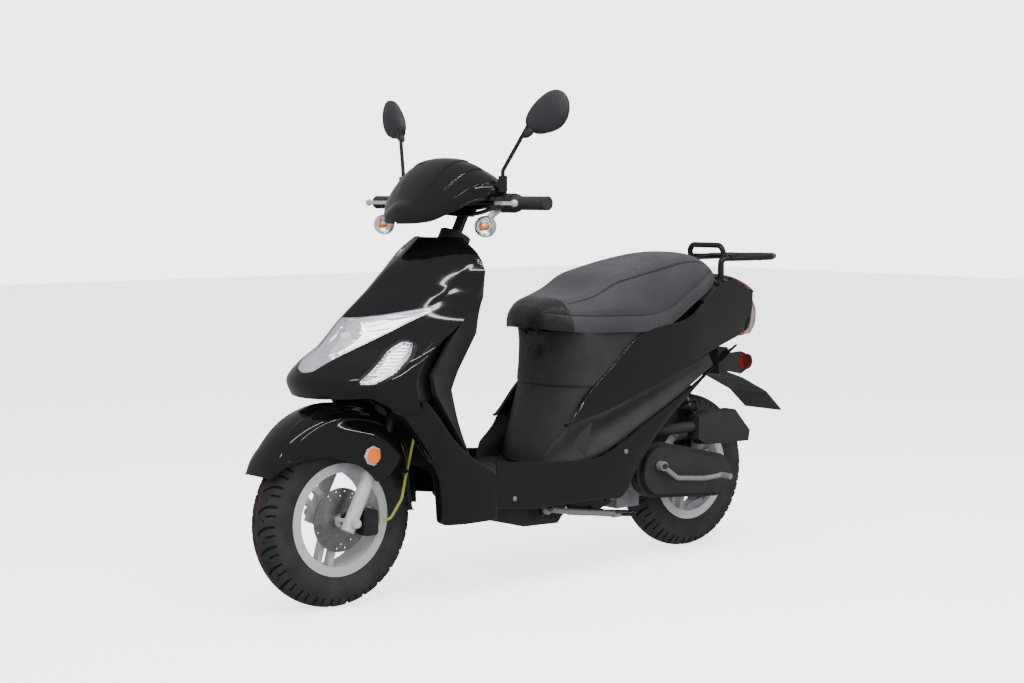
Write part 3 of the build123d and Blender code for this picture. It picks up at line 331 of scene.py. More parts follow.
def reflex_lens(name, colour):
    """Reflector plastic with prisms under a clear skin and a faint painted glow for returned light."""
    # The faint emission is a painted glow that stands in for light thrown back, as the reflector is no
    # lamp.
    finish = Finish(name, base_color=colour, emission_color=colour, emission_strength=0.05, coat_weight=0.6)
    prisms = finish.cells(420)
    finish.set("Roughness", prisms.ramp(0.1, 0.6, 0.2, 0.4))
    return finish.bump(prisms, 0.0004, 0.6).material


def plain_glow(name, colour, strength):
    finish = Finish(name, base_color=colour, emission_color=colour, emission_strength=strength)
    finish.set("Roughness", finish.noise(50).ramp(0.3, 0.7, 0.3, 0.5))
    return finish.material


print("lenses ready")

# %% [markdown]
# Every finish is made once here and looked up by its name when a piece is fitted. Pieces with the same
# name share one material, as they share one paint or one batch of plastic on the real scooter.

# %% All finishes by name
finishes = {
    "gloss_black": gloss_black(),
    "matte_black": grained("matte_black", (0.019, 0.020, 0.021), 0.48),
    "satin_black": grained("satin_black", (0.010, 0.010, 0.011), 0.34, 0.0001),
    "floor_grey": grained("floor_grey", (0.024, 0.025, 0.026), 0.42, 0.0003, 900),
    "seat": seat_vinyl(),
    "tyre": tyre_rubber(),
    "rubber": rubber(),
    "rim": silver_paint(),
    "silver": silver_paint(),
    "polished": bright_metal("polished", (0.88, 0.89, 0.91), 0.22, (1, 6, 1)),
    "disc": disc_steel(),
    "reflector": bright_metal("reflector", (0.80, 0.82, 0.86), 0.12),
    "steel": bright_metal("steel", (0.42, 0.42, 0.43), 0.3, (1, 1, 8)),
    "casting": cast_alloy("casting", (0.30, 0.31, 0.32)),
    "dark_casting": cast_alloy("dark_casting", (0.035, 0.036, 0.038)),
    "black_tube": tube_paint(),
    "lens": lens("clear_lens", (0.96, 0.97, 0.99)),
    "fluted_lens": lens("fluted_lens", (0.93, 0.95, 0.97), ("Z", 0.007), 0.0009),
    "tail_lens": lens("tail_lens", (0.93, 0.80, 0.80), ("Z", 0.006)),
    "red_lens": lens("red_lens", (0.75, 0.012, 0.01), ("Z", 0.006)),
    "amber_lens": reflex_lens("amber_lens", (0.80, 0.15, 0.004)),
    "amber_bulb": plain_glow("amber_bulb", (0.9, 0.25, 0.02), 0.15),
    "red_inside": plain_glow("red_inside", (0.5, 0.015, 0.01), 0.1),
    "hose_guard": grained("hose_guard", (0.30, 0.30, 0.05), 0.35, 0.0001),
    "mirror_shell": grained("mirror_shell", (0.022, 0.023, 0.026), 0.40),
    "mirror": bright_metal("mirror_glass", (0.82, 0.85, 0.88), 0.02, metallic=1.0),
    "white_bulb": plain_glow("white_bulb", (0.85, 0.83, 0.78), 0.1),
}
print(len(finishes), "finishes")

# %% [markdown]
# Blender's operators act on whatever is selected, and loading the frame leaves its parts selected. So
# each helper first makes its piece the only selected one. Modifiers are added, set and applied at once,
# as they would be by hand.


# %% Selecting and finishing a mesh
def only(piece):
    """Makes one object the selected and active one."""
    bpy.ops.object.select_all(action="DESELECT")
    piece.select_set(True)
    bpy.context.view_layer.objects.active = piece
    return piece


def modified(piece, kind, **settings):
    """Adds a modifier, sets it and applies it."""
    only(piece)
    modifier = piece.modifiers.new(kind.lower(), kind)
    for key, value in settings.items():
        setattr(modifier, key, value)
    bpy.ops.object.modifier_apply(modifier=modifier.name)
    return piece


def smooth(piece, angle=32):
    only(piece)
    bpy.ops.object.shade_smooth_by_angle(angle=radians(angle))
    return piece


def tidy_mesh(piece, distance=0.00002):
    """Merges doubled corners and turns every normal outward."""
    only(piece)
    bpy.ops.object.mode_set(mode="EDIT")
    bpy.ops.mesh.select_all(action="SELECT")
    bpy.ops.mesh.remove_doubles(threshold=distance)
    bpy.ops.mesh.normals_make_consistent(inside=False)
    bpy.ops.object.mode_set(mode="OBJECT")
    return piece


def settle(piece):
    """Puts the object's turn, size and place into its mesh."""
    only(piece)
    bpy.ops.object.transform_apply(location=True, rotation=True, scale=True)
    return piece


print("mesh helpers ready")

# %% [markdown]
# The scooter's panels curve both ways. They could be pushed into shape point by point, but dents would
# show in the gloss, so a grid primitive is bent by a formula instead. `along` reads smooth values between
# a few stations, and `net` draws a smooth skin through rows of given points.


# %% Skins bent by a formula
def surface(name, columns, rows, place):
    """A grid whose point (u, v), each from 0 to 1, goes to place(u, v), given as three arrays."""
    bpy.ops.mesh.primitive_grid_add(x_subdivisions=columns, y_subdivisions=rows, size=2)
    piece = bpy.context.object
    piece.name = name
    co = np.empty(len(piece.data.vertices) * 3)
    piece.data.vertices.foreach_get("co", co)
    u, v = (co[0::3] + 1) / 2, (co[1::3] + 1) / 2
    co[0::3], co[1::3], co[2::3] = place(u, v)
    piece.data.vertices.foreach_set("co", co)
    piece.data.update()
    return piece


def along(stations, t):
    """Smooth values at t through stations, each (t, value, ...). Gives one array for each value."""
    knots = np.array([s[0] for s in stations], float)
    values = np.array([s[1:] for s in stations], float)
    slopes = np.gradient(values, knots, axis=0)
    t = np.clip(np.asarray(t, float), knots[0], knots[-1])
    i = np.clip(np.searchsorted(knots, t, side="right") - 1, 0, len(knots) - 2)
    gap = knots[i + 1] - knots[i]
    s = ((t - knots[i]) / gap)[..., None]
    gap = gap[..., None]
    a, b, da, db = values[i], values[i + 1], slopes[i] * gap, slopes[i + 1] * gap
    made = a + s * (da + s * (3 * (b - a) - 2 * da - db + s * (2 * (a - b) + da + db)))
    return [made[..., k] for k in range(made.shape[-1])]


def step(t, low, high):
    """Eases from 0 to 1 as t goes from low to high."""
    t = np.clip((t - low) / (high - low), 0, 1)
    return t * t * (3 - 2 * t)


def net(name, rows, columns, lines):
    """A smooth surface through rows of given points."""

    def place(u, v):
        lines_across = [along([(k, *p) for k, p in enumerate(row)], u * (len(row) - 1)) for row in rows]
        knots = np.stack([np.stack(line, -1) for line in lines_across])
        slopes = np.gradient(knots, axis=0)
        t = v * (len(rows) - 1)
        i = np.clip(t.astype(int), 0, len(rows) - 2)
        s, k = (t - i)[:, None], np.arange(len(t))
        a, b, da, db = knots[i, k], knots[i + 1, k], slopes[i, k], slopes[i + 1, k]
        return (a + s * (da + s * (3 * (b - a) - 2 * da - db + s * (2 * (a - b) + da + db)))).T

    return surface(name, columns, lines, place)


print("skins ready")

# %% [markdown]
# A moulded panel is a thin wall, so `shell` thickens a skin inward and softens its rim. Round parts such
# as lenses, grips and screws are turned from a profile, and `plate` extrudes an outline. Most plates here
# are cutters for windows.


# %% Walls, turned parts and plates
def shell(piece, thickness, rim=0.0006):
    """Gives a surface its thickness, inward, with a rounded rim."""
    modified(piece, "SOLIDIFY", thickness=thickness, offset=-1, use_even_offset=False)
    tidy_mesh(piece)
    if rim:
        modified(piece, "BEVEL", width=rim, segments=2, limit_method="ANGLE", angle_limit=radians(55))
    return smooth(piece, 40)


def turned(name, profile, centre, axis, steps):
    """Spins a closed profile of (radius, along) points about an axis through centre."""
    points = profile + profile[:1]

    def place(u, v):
        k = v * (len(points) - 1)
        i = np.clip(k.astype(int), 0, len(points) - 2)
        f = k - i
        knots = np.array(points, float)
        radius, reach = (knots[i] * (1 - f)[:, None] + knots[i + 1] * f[:, None]).T
        a = 2 * pi * u
        ring, turn = radius * np.cos(a), radius * np.sin(a)
        if axis == "Y":
            return centre[0] + ring, centre[1] + reach, centre[2] + turn
        return centre[0] + reach, centre[1] + ring, centre[2] + turn

    piece = surface(name, steps, len(points) - 1, place)
    return smooth(tidy_mesh(piece))


def plate(name, outline, low, high, plane):
    """Extrudes an outline between two distances along the axis square to its plane."""
    count = len(outline)
    order = {"XZ": lambda a, b, c: (a, c, b), "YZ": lambda a, b, c: (c, a, b)}
    points = [order[plane](a, b, d) for d in (low, high) for a, b in outline]
    sides = [(i, (i + 1) % count, count + (i + 1) % count, count + i) for i in range(count)]
    mesh = bpy.data.meshes.new(name)
    ends = [tuple(range(count)), tuple(range(2 * count - 1, count - 1, -1))]
    mesh.from_pydata(points, [], ends + sides)
    piece = bpy.data.objects.new(name, mesh)
    bpy.context.collection.objects.link(piece)
    return smooth(tidy_mesh(piece))


def rounded(outline, radius, steps=5):
    """Rounds the corners of an outline."""
    made, count = [], len(outline)
    for i, corner in enumerate(outline):
        here, back, on = Vector(corner), Vector(outline[i - 1]), Vector(outline[(i + 1) % count])
        reach = min(radius, (back - here).length * 0.45, (on - here).length * 0.45)
        first, last = here + (back - here).normalized() * reach, here + (on - here).normalized() * reach
        for k in range(steps + 1):
            t = k / steps
            made.append(tuple(first * (1 - t) ** 2 + here * 2 * t * (1 - t) + last * t * t))
    return made


print("walls ready")

# %% [markdown]
# A bent stalk is a curve with a round section, made a mesh once its route is right. Balls and blocks
# start as primitives, and their size and place are put into the mesh, so that every finished object sits
# at the origin.


# %% Bars, balls and blocks
def rod(name, route, radius):
    """A round bar along one smooth line that has the route's points as its controls."""
    line = bpy.data.curves.new(name, "CURVE")
    line.dimensions, line.bevel_depth, line.bevel_resolution = "3D", radius, 6
    line.use_fill_caps, line.resolution_u = True, 10
    spline = line.splines.new("NURBS")
    spline.points.add(len(route) - 1)
    for point, place in zip(spline.points, route):
        point.co = (*place, 1)
    spline.order_u, spline.use_endpoint_u = 3, True
    piece = bpy.data.objects.new(name, line)
    bpy.context.collection.objects.link(piece)
    only(piece)
    bpy.ops.object.convert(target="MESH")
    return smooth(bpy.context.object, 50)


def ball(name, centre, size):
    """A smooth round or stretched ball."""
    bpy.ops.mesh.primitive_uv_sphere_add(segments=48, ring_count=24)
    piece = bpy.context.object
    piece.name = name
    piece.scale, piece.location = size, centre
    settle(piece)
    return smooth(piece, 60)


def box(name, centre, size, bevel=0.002, turn=(0, 0, 0)):
    """A block with rounded edges."""
    bpy.ops.mesh.primitive_cube_add(size=1)
    piece = bpy.context.object
    piece.name = name
    piece.scale = size
    settle(piece)
    modified(piece, "BEVEL", width=bevel, segments=3)
    piece.rotation_euler, piece.location = turn, centre
    settle(piece)
    return smooth(piece)


print("primitives ready")

# %% [markdown]
# Windows are cut with a Boolean, whose cutter is thrown away afterwards. What sits on both sides of the
# scooter is made once for the left, then copied and mirrored with its faces turned out again.


# %% Cutting, copying and joining
def cut(piece, *tools, keep=False):
    """Takes the tools' volume out of a piece, or keeps only what lies inside them."""
    for tool in tools:
        kind = "INTERSECT" if keep else "DIFFERENCE"
        modified(piece, "BOOLEAN", object=tool, operation=kind, solver="EXACT")
        bpy.data.objects.remove(tool)
    return piece


def copy_of(piece, name):
    """A copy with a mesh of its own."""
    twin = piece.copy()
    twin.data = piece.data.copy()
    twin.name = name
    bpy.context.collection.objects.link(twin)
    return twin


def mirrored(piece, name):
    """The same piece on the other side of the scooter."""
    twin = copy_of(piece, name)
    twin.data.transform(Matrix.Diagonal((1, -1, 1, 1)))
    twin.data.flip_normals()
    return twin


def handed(piece, side):
    """Turns a piece that was made for the left side over if it belongs to the right."""
    if side < 0:
        piece.data.transform(Matrix.Diagonal((1, -1, 1, 1)))
        tidy_mesh(piece)
    return piece


def joined(name, pieces):
    """Several loose shapes as one piece."""
    only(pieces[0])
    for piece in pieces:
        piece.select_set(True)
    bpy.ops.object.join()
    pieces[0].name = name
    return pieces[0]


print("cuts and copies ready")

# %% [markdown]
# A finished piece takes its material, rides on one moving body, and hides the plain part of the frame
# that it stands for. All of it happens in one call, so no piece can be left without a body.


# %% Fitting a piece to its body
def fit(piece, body, finish, slot, *nodes):
    """Gives a piece its finish and body and hides the nodes that it stands for; the slot is not used."""
    piece.data.materials.clear()
    piece.data.materials.append(finishes[finish])
    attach(piece, body)
    if nodes:
        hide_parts(*nodes)
    return piece


def both(piece, body, finish, slot, *nodes):
    """Fits a left piece and its mirror image."""
    right_name = piece.name.replace("left", "right") if "left" in piece.name else piece.name + "_right"
    twin = mirrored(piece, right_name)
    fit(piece, body, finish, slot, *nodes)
    return piece, fit(twin, body, finish, slot)


print("pieces can be fitted to", len(finishes), "finishes")

# %% [markdown]
# The front shield is the scooter's largest gloss panel: it narrows to a nose over the fender and spreads
# to the rider's knees. It could be drawn as patches, but their joints would show as kinks in the
# reflections. So it is one skin: each height has an edge, a half width and a nose, and two creases run up
# from the headlamp.


# %% Front shield skin
shield_stations = [  # height, edge, half width, nose, roundness, power
    (0.470, 0.530, 0.176, 0.735, 2, 0.5), (0.512, 0.552, 0.188, 0.752, 2, 0.5),
    (0.548, 0.562, 0.193, 0.763, 2, 0.5), (0.590, 0.548, 0.195, 0.742, 1.7, 0.7),
    (0.632, 0.508, 0.196, 0.704, 1.35, 1), (0.690, 0.424, 0.196, 0.648, 1.3, 1),
    (0.760, 0.372, 0.194, 0.562, 1.3, 1), (0.812, 0.350, 0.184, 0.502, 1.35, 1),
    (0.850, 0.343, 0.150, 0.448, 1.6, 0.9), (0.887, 0.340, 0.085, 0.398, 2, 0.8),
]
creases = [  # heights, half widths, drop outboard
    ((0.712, 0.770, 0.846), (0.128, 0.144, 0.160), 0.0016),
    ((0.745, 0.813, 0.872), (0.030, 0.042, 0.056), 0.0018),
]


def shield_skin(u, v, push=0.0):
    s = np.sin((u - 0.5) * pi)
    low = 0.511 + 0.010 * s * s - 0.040 * step(np.abs(s), 0.8, 1.0)
    z = low + (0.887 - low) * v
    edge, half, nose, power, bend = along(shield_stations, z)
    x = edge + (nose - edge) * np.clip(1 - np.abs(s) ** power, 0, 1) ** bend
    for heights, widths, drop in creases:
        line = np.interp(z, heights, widths)
        live = step(z, heights[0], heights[0] + 0.03) * (1 - step(z, heights[-1] - 0.06, heights[-1]))
        x = x - drop * live * step(np.abs(s * half) - line, -0.005, 0.009)
    return x + push, s * half, z


print("shield skin ready")

# %% [markdown]
# A kite-shaped headlamp fills the nose, and a slanted lamp sits in each flank. Their outlines are drawn
# flat, in the front view and the side view, and pushed through the finished skin. That way lens and
# opening share exactly the same curve.


# %% Lamp windows
def mirror_outline(half_outline):
    """The whole of an outline that is drawn for the left half only."""
    return half_outline + [(-y, z) for y, z in reversed(half_outline) if y]


def grown(outline, reach):
    """The outline moved outward by a distance, or inward if it is negative."""
    made = []
    for i, (a, b) in enumerate(outline):
        (a0, b0), (a1, b1) = outline[i - 1], outline[(i + 1) % len(outline)]
        side = Vector((b1 - b0, a0 - a1)).normalized()
        made.append((a + side.x * reach, b + side.y * reach))
    area = sum(outline[i - 1][0] * p[1] - p[0] * outline[i - 1][1] for i, p in enumerate(outline))
    return made if area > 0 else [(2 * a - c, 2 * b - d) for (a, b), (c, d) in zip(outline, made)]


def flank_cutter(name, outline, side):
    """An outline in the side view, pushed through the shield's left or right flank only."""
    return plate(name, outline, *sorted((side * 0.11, side * 0.21)), "XZ")


def nose_cutter(outline):
    """An outline in the front view, pushed through the shield's nose."""
    return plate("window", outline, 0.45, 0.8, "YZ")


lamp_window = rounded(mirror_outline([(0, 0.698), (0.034, 0.699), (0.072, 0.705), (0.110, 0.716),
                                      (0.138, 0.724), (0.143, 0.712), (0.120, 0.682), (0.084, 0.636),
                                      (0.056, 0.597), (0.036, 0.576), (0, 0.570)]), 0.008)
side_window = rounded([(0.540, 0.640), (0.558, 0.648), (0.604, 0.624), (0.652, 0.588), (0.692, 0.558),
                       (0.692, 0.548), (0.664, 0.549), (0.614, 0.573), (0.562, 0.613)], 0.011)
print(len(lamp_window), "and", len(side_window), "points in the lamp windows")

# %% [markdown]
# The skin is thickened first. One copy keeps only what lies inside the headlamp window and becomes its
# lens, a hair smaller than the hole. A slightly raised copy gives each flank lamp its black surround.

# %% Front shield
skin = shell(surface("front_shield", 190, 150, shield_skin), 0.003)
headlamp = cut(copy_of(skin, "headlamp_lens"), nose_cutter(grown(lamp_window, -0.0012)), keep=True)
cut(skin, nose_cutter(lamp_window))
for side in (1, -1):
    cut(skin, flank_cutter("window", side_window, side))
lip = shell(surface("lip", 110, 100, lambda u, v: shield_skin(u, v, 0.0008)), 0.004, 0)
lamp_rims = []
for side in (1, -1):
    rim_piece = cut(copy_of(lip, "rim"), flank_cutter("outer", grown(side_window, 0.0035), side), keep=True)
    cut(rim_piece, flank_cutter("inner", grown(side_window, -0.001), side))
    lamp_rims.append(rim_piece)
bpy.data.objects.remove(lip)
fit(smooth(skin), "chassis", "gloss_black", "gloss_black", "front_shield")
fit(smooth(joined("lamp_rims", lamp_rims)), "chassis", "satin_black", "matte_black")
print("shield:", len(skin.data.polygons), "faces")

# %% [markdown]
# Behind the headlamp lens lies a plated tray. It sinks from the window's edge and holds a deep bowl, a
# ring round it and fine fans, with a bulb in the middle. The tray is the shield's own skin pushed inward,
# so its rim meets the lens all round.


# %% Headlamp tray and bulb
def depth_inside(outline, a, b):
    """How far each point lies inside an outline, negative outside it."""
    nearest, inside = np.full(a.shape, 9.0), np.zeros(a.shape, bool)
    for (a0, b0), (a1, b1) in zip(outline, outline[1:] + outline[:1]):
        length = max((a1 - a0) ** 2 + (b1 - b0) ** 2, 1e-12)
        t = np.clip(((a - a0) * (a1 - a0) + (b - b0) * (b1 - b0)) / length, 0, 1)
        nearest = np.minimum(nearest, np.hypot(a - a0 - t * (a1 - a0), b - b0 - t * (b1 - b0)))
        crosses = (b0 > b) != (b1 > b)
        inside ^= crosses & (a < a0 + (b - b0) * (a1 - a0) / (b1 - b0 if b1 != b0 else 1e-9))
    return np.where(inside, nearest, -nearest)


bowl_z, bowl_r = 0.652, 0.044


def headlamp_tray(u, v):
    x, y, z = shield_skin(u, v)
    sink = 0.004 + 0.026 * step(depth_inside(lamp_window, y, z), 0.0, 0.016)
    reach = np.hypot(y, z - bowl_z) / bowl_r
    bowl = np.clip(1 - reach * reach, 0, 1)
    fans = 0.0010 * np.sin(np.arctan2(z - bowl_z, y) * 30) * step(reach, 1.15, 1.3)
    ring = 0.006 * np.exp(-((reach - 1.06) / 0.05) ** 2)
    return x - sink - 0.030 * bowl + (fans + ring) * step(sink, 0.01, 0.03), y, z


tray = shell(surface("headlamp_reflector", 260, 220, headlamp_tray), 0.0015, 0)
cut(tray, plate("window", grown(lamp_window, 0.004), 0.40, 0.8, "YZ"), keep=True)
fit(smooth(tray, 50), "chassis", "reflector", "reflector", "headlamp_reflector")
fit(smooth(headlamp), "chassis", "lens", "lens", "headlamp_lens")
bulb = joined("headlamp_bulb", [
    ball("glass", (0.622, 0, bowl_z), (0.018, 0.0085, 0.0085)),
    ball("cap", (0.636, 0, bowl_z), (0.006, 0.0088, 0.0088)),
])
fit(bulb, "chassis", "white_bulb", "bulb", "headlamp_bulb")
print("headlamp tray:", len(tray.data.polygons), "faces")

# %% [markdown]
# Each flank lamp is a fluted lens over a shallow plated tray. Both are cut from pushed-in copies of the
# shield's skin with the same outline, the tray a little larger than the lens so that no gap shows.


# %% Position lamps
def side_tray(u, v):
    x, y, z = shield_skin(u, v)
    sink = 0.003 + 0.009 * step(depth_inside(side_window, x, z), 0.0, 0.008)
    turn = np.abs(y) / 0.196
    return x - sink * (1 - turn * 0.6), y - np.sign(y) * sink * turn, z


clear = shell(surface("clear", 150, 120, shield_skin), 0.0025, 0)
back = shell(surface("back", 150, 120, side_tray), 0.001, 0)
lenses, backs = [], []
for side in (1, -1):
    lens_cutter = flank_cutter("inner", grown(side_window, -0.0015), side)
    tray_cutter = flank_cutter("outer", grown(side_window, 0.003), side)
    lenses.append(cut(copy_of(clear, "lens"), lens_cutter, keep=True))
    backs.append(cut(copy_of(back, "back"), tray_cutter, keep=True))
bpy.data.objects.remove(clear)
bpy.data.objects.remove(back)
fit(smooth(joined("position_lamps", lenses)), "chassis", "fluted_lens", "lens", "position_lamps")
fit(smooth(joined("position_lamp_backs", backs)), "chassis", "reflector", "reflector")
print("position lamps:", len(lenses), "lenses and", len(backs), "trays")

# %% [markdown]
# Below the floor a gloss skirt sweeps up towards the tail. Like the panels after it, it is a net of
# points listed for the left side and then mirrored. Rows go from the bottom edge up and each row
# runs from the front to the rear, so the outside faces outward.


# %% Side skirts
def band(lower, upper, widths, crown=0.003, turn_in=0.010):
    """Rows between a lower and an upper edge of (x, z) points, rolled inward at both edges."""
    rows = [[(x, y - turn_in, z + 0.001) for (x, z), y in zip(lower, widths)]]
    for k in (0.0, 0.12, 0.5, 0.88, 1.0):
        bulge = crown * 4 * k * (1 - k)
        rows.append([(a + (c - a) * k, y - 0.001 + bulge, b + (d - b) * k)
                     for (a, b), (c, d), y in zip(lower, upper, widths)])
    rows.append([(x, y - turn_in, z - 0.001) for (x, z), y in zip(upper, widths)])
    return rows


skirt_low = [(0.297, 0.219), (0.180, 0.204), (0.060, 0.203), (-0.061, 0.203), (-0.143, 0.201),
             (-0.201, 0.272), (-0.300, 0.372), (-0.444, 0.472), (-0.600, 0.556)]
skirt_high = [(0.297, 0.333), (0.180, 0.322), (0.060, 0.312), (-0.051, 0.311), (-0.140, 0.341),
              (-0.229, 0.384), (-0.330, 0.430), (-0.460, 0.490), (-0.636, 0.570)]
skirt_half = (0.170, 0.169, 0.168, 0.166, 0.163, 0.158, 0.153, 0.142, 0.108)
skirt = net("side_skirt_left", band(skirt_low, skirt_high, skirt_half), 140, 60)
both(shell(skirt, 0.003), "chassis", "gloss_black", "gloss_black", "side_skirts")
print("side skirts:", len(skirt.data.polygons), "faces each")

# %% [markdown]
# The tail panels start at a point beside the knees and rise under the seat to the tail lamp. A separate
# cap closes the tail behind the seat, slightly domed so that it catches the light.

# %% Tail panels and tail top
tail_low = [(0.046, 0.398), (0.000, 0.409), (-0.110, 0.435), (-0.256, 0.479), (-0.416, 0.531),
            (-0.560, 0.571), (-0.655, 0.593), (-0.722, 0.612)]
tail_high = [(0.040, 0.402), (-0.030, 0.478), (-0.110, 0.541), (-0.222, 0.624), (-0.400, 0.655),
             (-0.520, 0.716), (-0.620, 0.750), (-0.738, 0.716)]
tail_half = (0.147, 0.149, 0.151, 0.151, 0.142, 0.115, 0.094, 0.074)
tail = net("tail_panel_left", band(tail_low, tail_high, tail_half, 0.005), 150, 70)
both(shell(tail, 0.003), "chassis", "gloss_black", "gloss_black", "tail_panels")

cap_rows = []
for x, z, half in ((-0.480, 0.700, 0.128), (-0.540, 0.728, 0.110), (-0.600, 0.750, 0.098),
                   (-0.660, 0.750, 0.087), (-0.705, 0.736, 0.080), (-0.742, 0.716, 0.073)):
    cap_rows.append([(x, half * s, z + 0.012 * (1 - s * s) - 0.004 * abs(s) ** 4)
                     for s in (-1, -0.7, -0.35, 0, 0.35, 0.7, 1)])
tail_top = shell(net("tail_top", cap_rows[::-1], 60, 60), 0.003)
fit(tail_top, "chassis", "gloss_black", "gloss_black")
print("tail panels:", len(tail.data.polygons), "faces each")

# %% [markdown]
# The lower leg cowl joins the shield to the floor and wraps round behind the front wheel. Each height has
# a front edge that swells to meet the shield, a corner and a rear edge, because its section changes from
# a narrow box low down to a wide flank.

# %% Lower leg cowl
leg_rows = []
for z, front, rear, corner, back, swell in (
        (0.190, 0.440, 0.300, 0.158, 0.168, 0.000), (0.200, 0.447, 0.298, 0.160, 0.170, 0.000),
        (0.250, 0.451, 0.298, 0.160, 0.171, 0.000), (0.300, 0.456, 0.300, 0.161, 0.171, 0.002),
        (0.345, 0.474, 0.368, 0.163, 0.173, 0.006), (0.400, 0.498, 0.436, 0.168, 0.180, 0.016),
        (0.440, 0.518, 0.472, 0.174, 0.186, 0.028), (0.474, 0.538, 0.502, 0.178, 0.189, 0.044),
        (0.502, 0.548, 0.526, 0.178, 0.187, 0.052)):
    gap = front - rear
    leg_rows.append([(front - 0.070, 0.070, z), (front - 0.030 + swell * 0.6, 0.094, z),
                     (front - 0.004 + swell, 0.114, z), (front + 0.002 + swell * 0.7, 0.138, z),
                     (front, corner - 0.004, z), (front - gap * 0.30, (corner + back) / 2 + 0.006, z),
                     (front - gap * 0.72, back + 0.003, z), (rear, back, z),
                     (rear - 0.002, back - 0.010, z)])
leg = net("lower_leg_cowl_left", leg_rows, 120, 90)
both(shell(leg, 0.003), "chassis", "gloss_black", "gloss_black", "lower_leg_cowl")
print("leg cowl:", len(leg.data.polygons), "faces each")

# %% [markdown]
# Between the shield's rear edge and the inner leg shield runs a matte liner. It follows the shield's own
# stations, so it stays hidden behind the edge all the way down.

# %% Shield liner
liner_rows = []
for z in (0.500, 0.530, 0.560, 0.590, 0.615, 0.640):
    edge, half = (float(w) for w in along(shield_stations, np.array(z))[:2])
    liner_rows.append([(edge + 0.015, half - 0.006, z), (edge - 0.015, half - 0.012, z),
                       (edge - 0.045, 0.158, z), (edge - 0.080, 0.146, z)])
liner = net("shield_liner_left", liner_rows, 50, 20)
both(shell(liner, 0.003), "chassis", "matte_black", "matte_black")
print("liner:", len(liner.data.polygons), "faces each")

# %% [markdown]
# The cover under the seat is one matte moulding, rounded in front, that leans back and widens towards the
# tail. Half of each row is written and the other half is its mirror image.

# %% Under-seat cover
cover_rows = []
for z, middle, corner, half, rear, rear_half in (
        (0.294, 0.084, 0.012, 0.132, 0.050, 0.146), (0.335, 0.078, 0.006, 0.132, 0.044, 0.146),
        (0.402, 0.054, -0.012, 0.133, 0.016, 0.147), (0.450, 0.034, -0.028, 0.134, -0.012, 0.148),
        (0.488, 0.021, -0.040, 0.135, -0.046, 0.149), (0.500, 0.024, -0.038, 0.136, -0.058, 0.149),
        (0.545, 0.020, -0.042, 0.135, -0.120, 0.149), (0.600, 0.020, -0.044, 0.134, -0.198, 0.148),
        (0.636, 0.026, -0.040, 0.133, -0.240, 0.146)):
    rear = min(rear, corner - 0.030)
    deep = middle - corner
    left = [(middle, 0.0, z), (middle - 0.06 * deep, 0.042, z), (middle - 0.28 * deep, 0.084, z),
            (middle - 0.66 * deep, half - 0.014, z), (corner - 0.006, half + 0.002, z),
            ((corner + rear) / 2 - 0.010, (half + rear_half) / 2 + 0.002, z),
            (rear - 0.006, rear_half - 0.002, z)]
    cover_rows.append([(x, -y, z) for x, y, z in reversed(left[1:])] + left)
cover = shell(net("under_seat_cover", cover_rows, 150, 90), 0.003)
fit(cover, "chassis", "matte_black", "matte_black", "seat_support_panels")
print("under-seat cover:", len(cover.data.polygons), "faces")

# %% [markdown]
# A matte panel with a long hollow closes each side between the floor and the tail panel. The hollow is
# pushed into one row of the net only, which keeps both edges straight.

# %% Footrest panels
rest_low = [(0.118, 0.292), (0.020, 0.296), (-0.060, 0.310), (-0.140, 0.341), (-0.229, 0.384),
            (-0.330, 0.430), (-0.430, 0.480), (-0.520, 0.520)]
rest_high = [(0.104, 0.336), (0.058, 0.372), (0.020, 0.406), (-0.080, 0.426), (-0.180, 0.456),
             (-0.280, 0.486), (-0.390, 0.520), (-0.500, 0.552)]
rest_rows = band(rest_low, rest_high, (0.136, 0.141, 0.146, 0.149, 0.149, 0.146, 0.140, 0.128), 0.0, 0.004)
for k, (x, y, z) in enumerate(rest_rows[3]):
    rest_rows[3][k] = (x, y - (0, 0.006, 0.014, 0.016, 0.014, 0.010, 0.004, 0)[k], z)
rest = net("footrest_panel_left", rest_rows, 120, 50)
both(shell(rest, 0.003), "chassis", "matte_black", "matte_black")
print("footrest panels:", len(rest.data.polygons), "faces each")

# %% [markdown]
# The headset cowl is a gloss dome that narrows to a low nose, with three creases on each side. It could
# be a sculpted ball, but the creases have to fade in and out evenly, so its section is worked out for
# each share of the way back and the creases are small steps in its height.

# %% Headset cowl
bar_x, bar_z = 0.28304, 0.97054
cowl_stations = [
    # share of the way back, ahead of the bar, half width, half height, centre above the bar
    (0.00, 0.196, 0.006, 0.004, -0.050), (0.03, 0.190, 0.040, 0.022, -0.044),
    (0.12, 0.166, 0.086, 0.042, -0.034), (0.30, 0.130, 0.126, 0.060, -0.010),
    (0.55, 0.080, 0.160, 0.073, 0.020), (0.80, 0.036, 0.184, 0.072, 0.030),
    (1.00, 0.000, 0.192, 0.066, 0.028),
]


def cowl_skin(u, v):
    ahead, half, high, centre = along(cowl_stations, v)
    turn = (u - 0.5) * radians(216)
    flat = np.abs(turn)
    lift = np.zeros_like(u)
    for start, end, live in ((20, 34, 0.10), (44, 60, 0.10), (72, 84, 0.12)):
        line = radians(1) * (end + (start - end) * v)
        fade = step(v, live, live + 0.25) * (1 - step(v, 0.86, 0.99))
        lift += 0.0032 * fade * (1 - step(flat, line - 0.012, line + 0.030))
    y = (half + lift) * np.sin(turn) * (1 - 0.10 * np.sin(2 * flat) ** 2 * (flat < pi / 2))
    z = centre + (high + lift) * np.cos(turn)
    return bar_x + ahead, y, bar_z + np.maximum(z, -0.062 + 0.02 * v)


cowl = shell(surface("headset_cowl", 160, 120, cowl_skin), 0.0028)
fit(cowl, "steering", "gloss_black", "gloss_black", "handlebar_cowl")
print("headset cowl:", len(cowl.data.polygons), "faces")

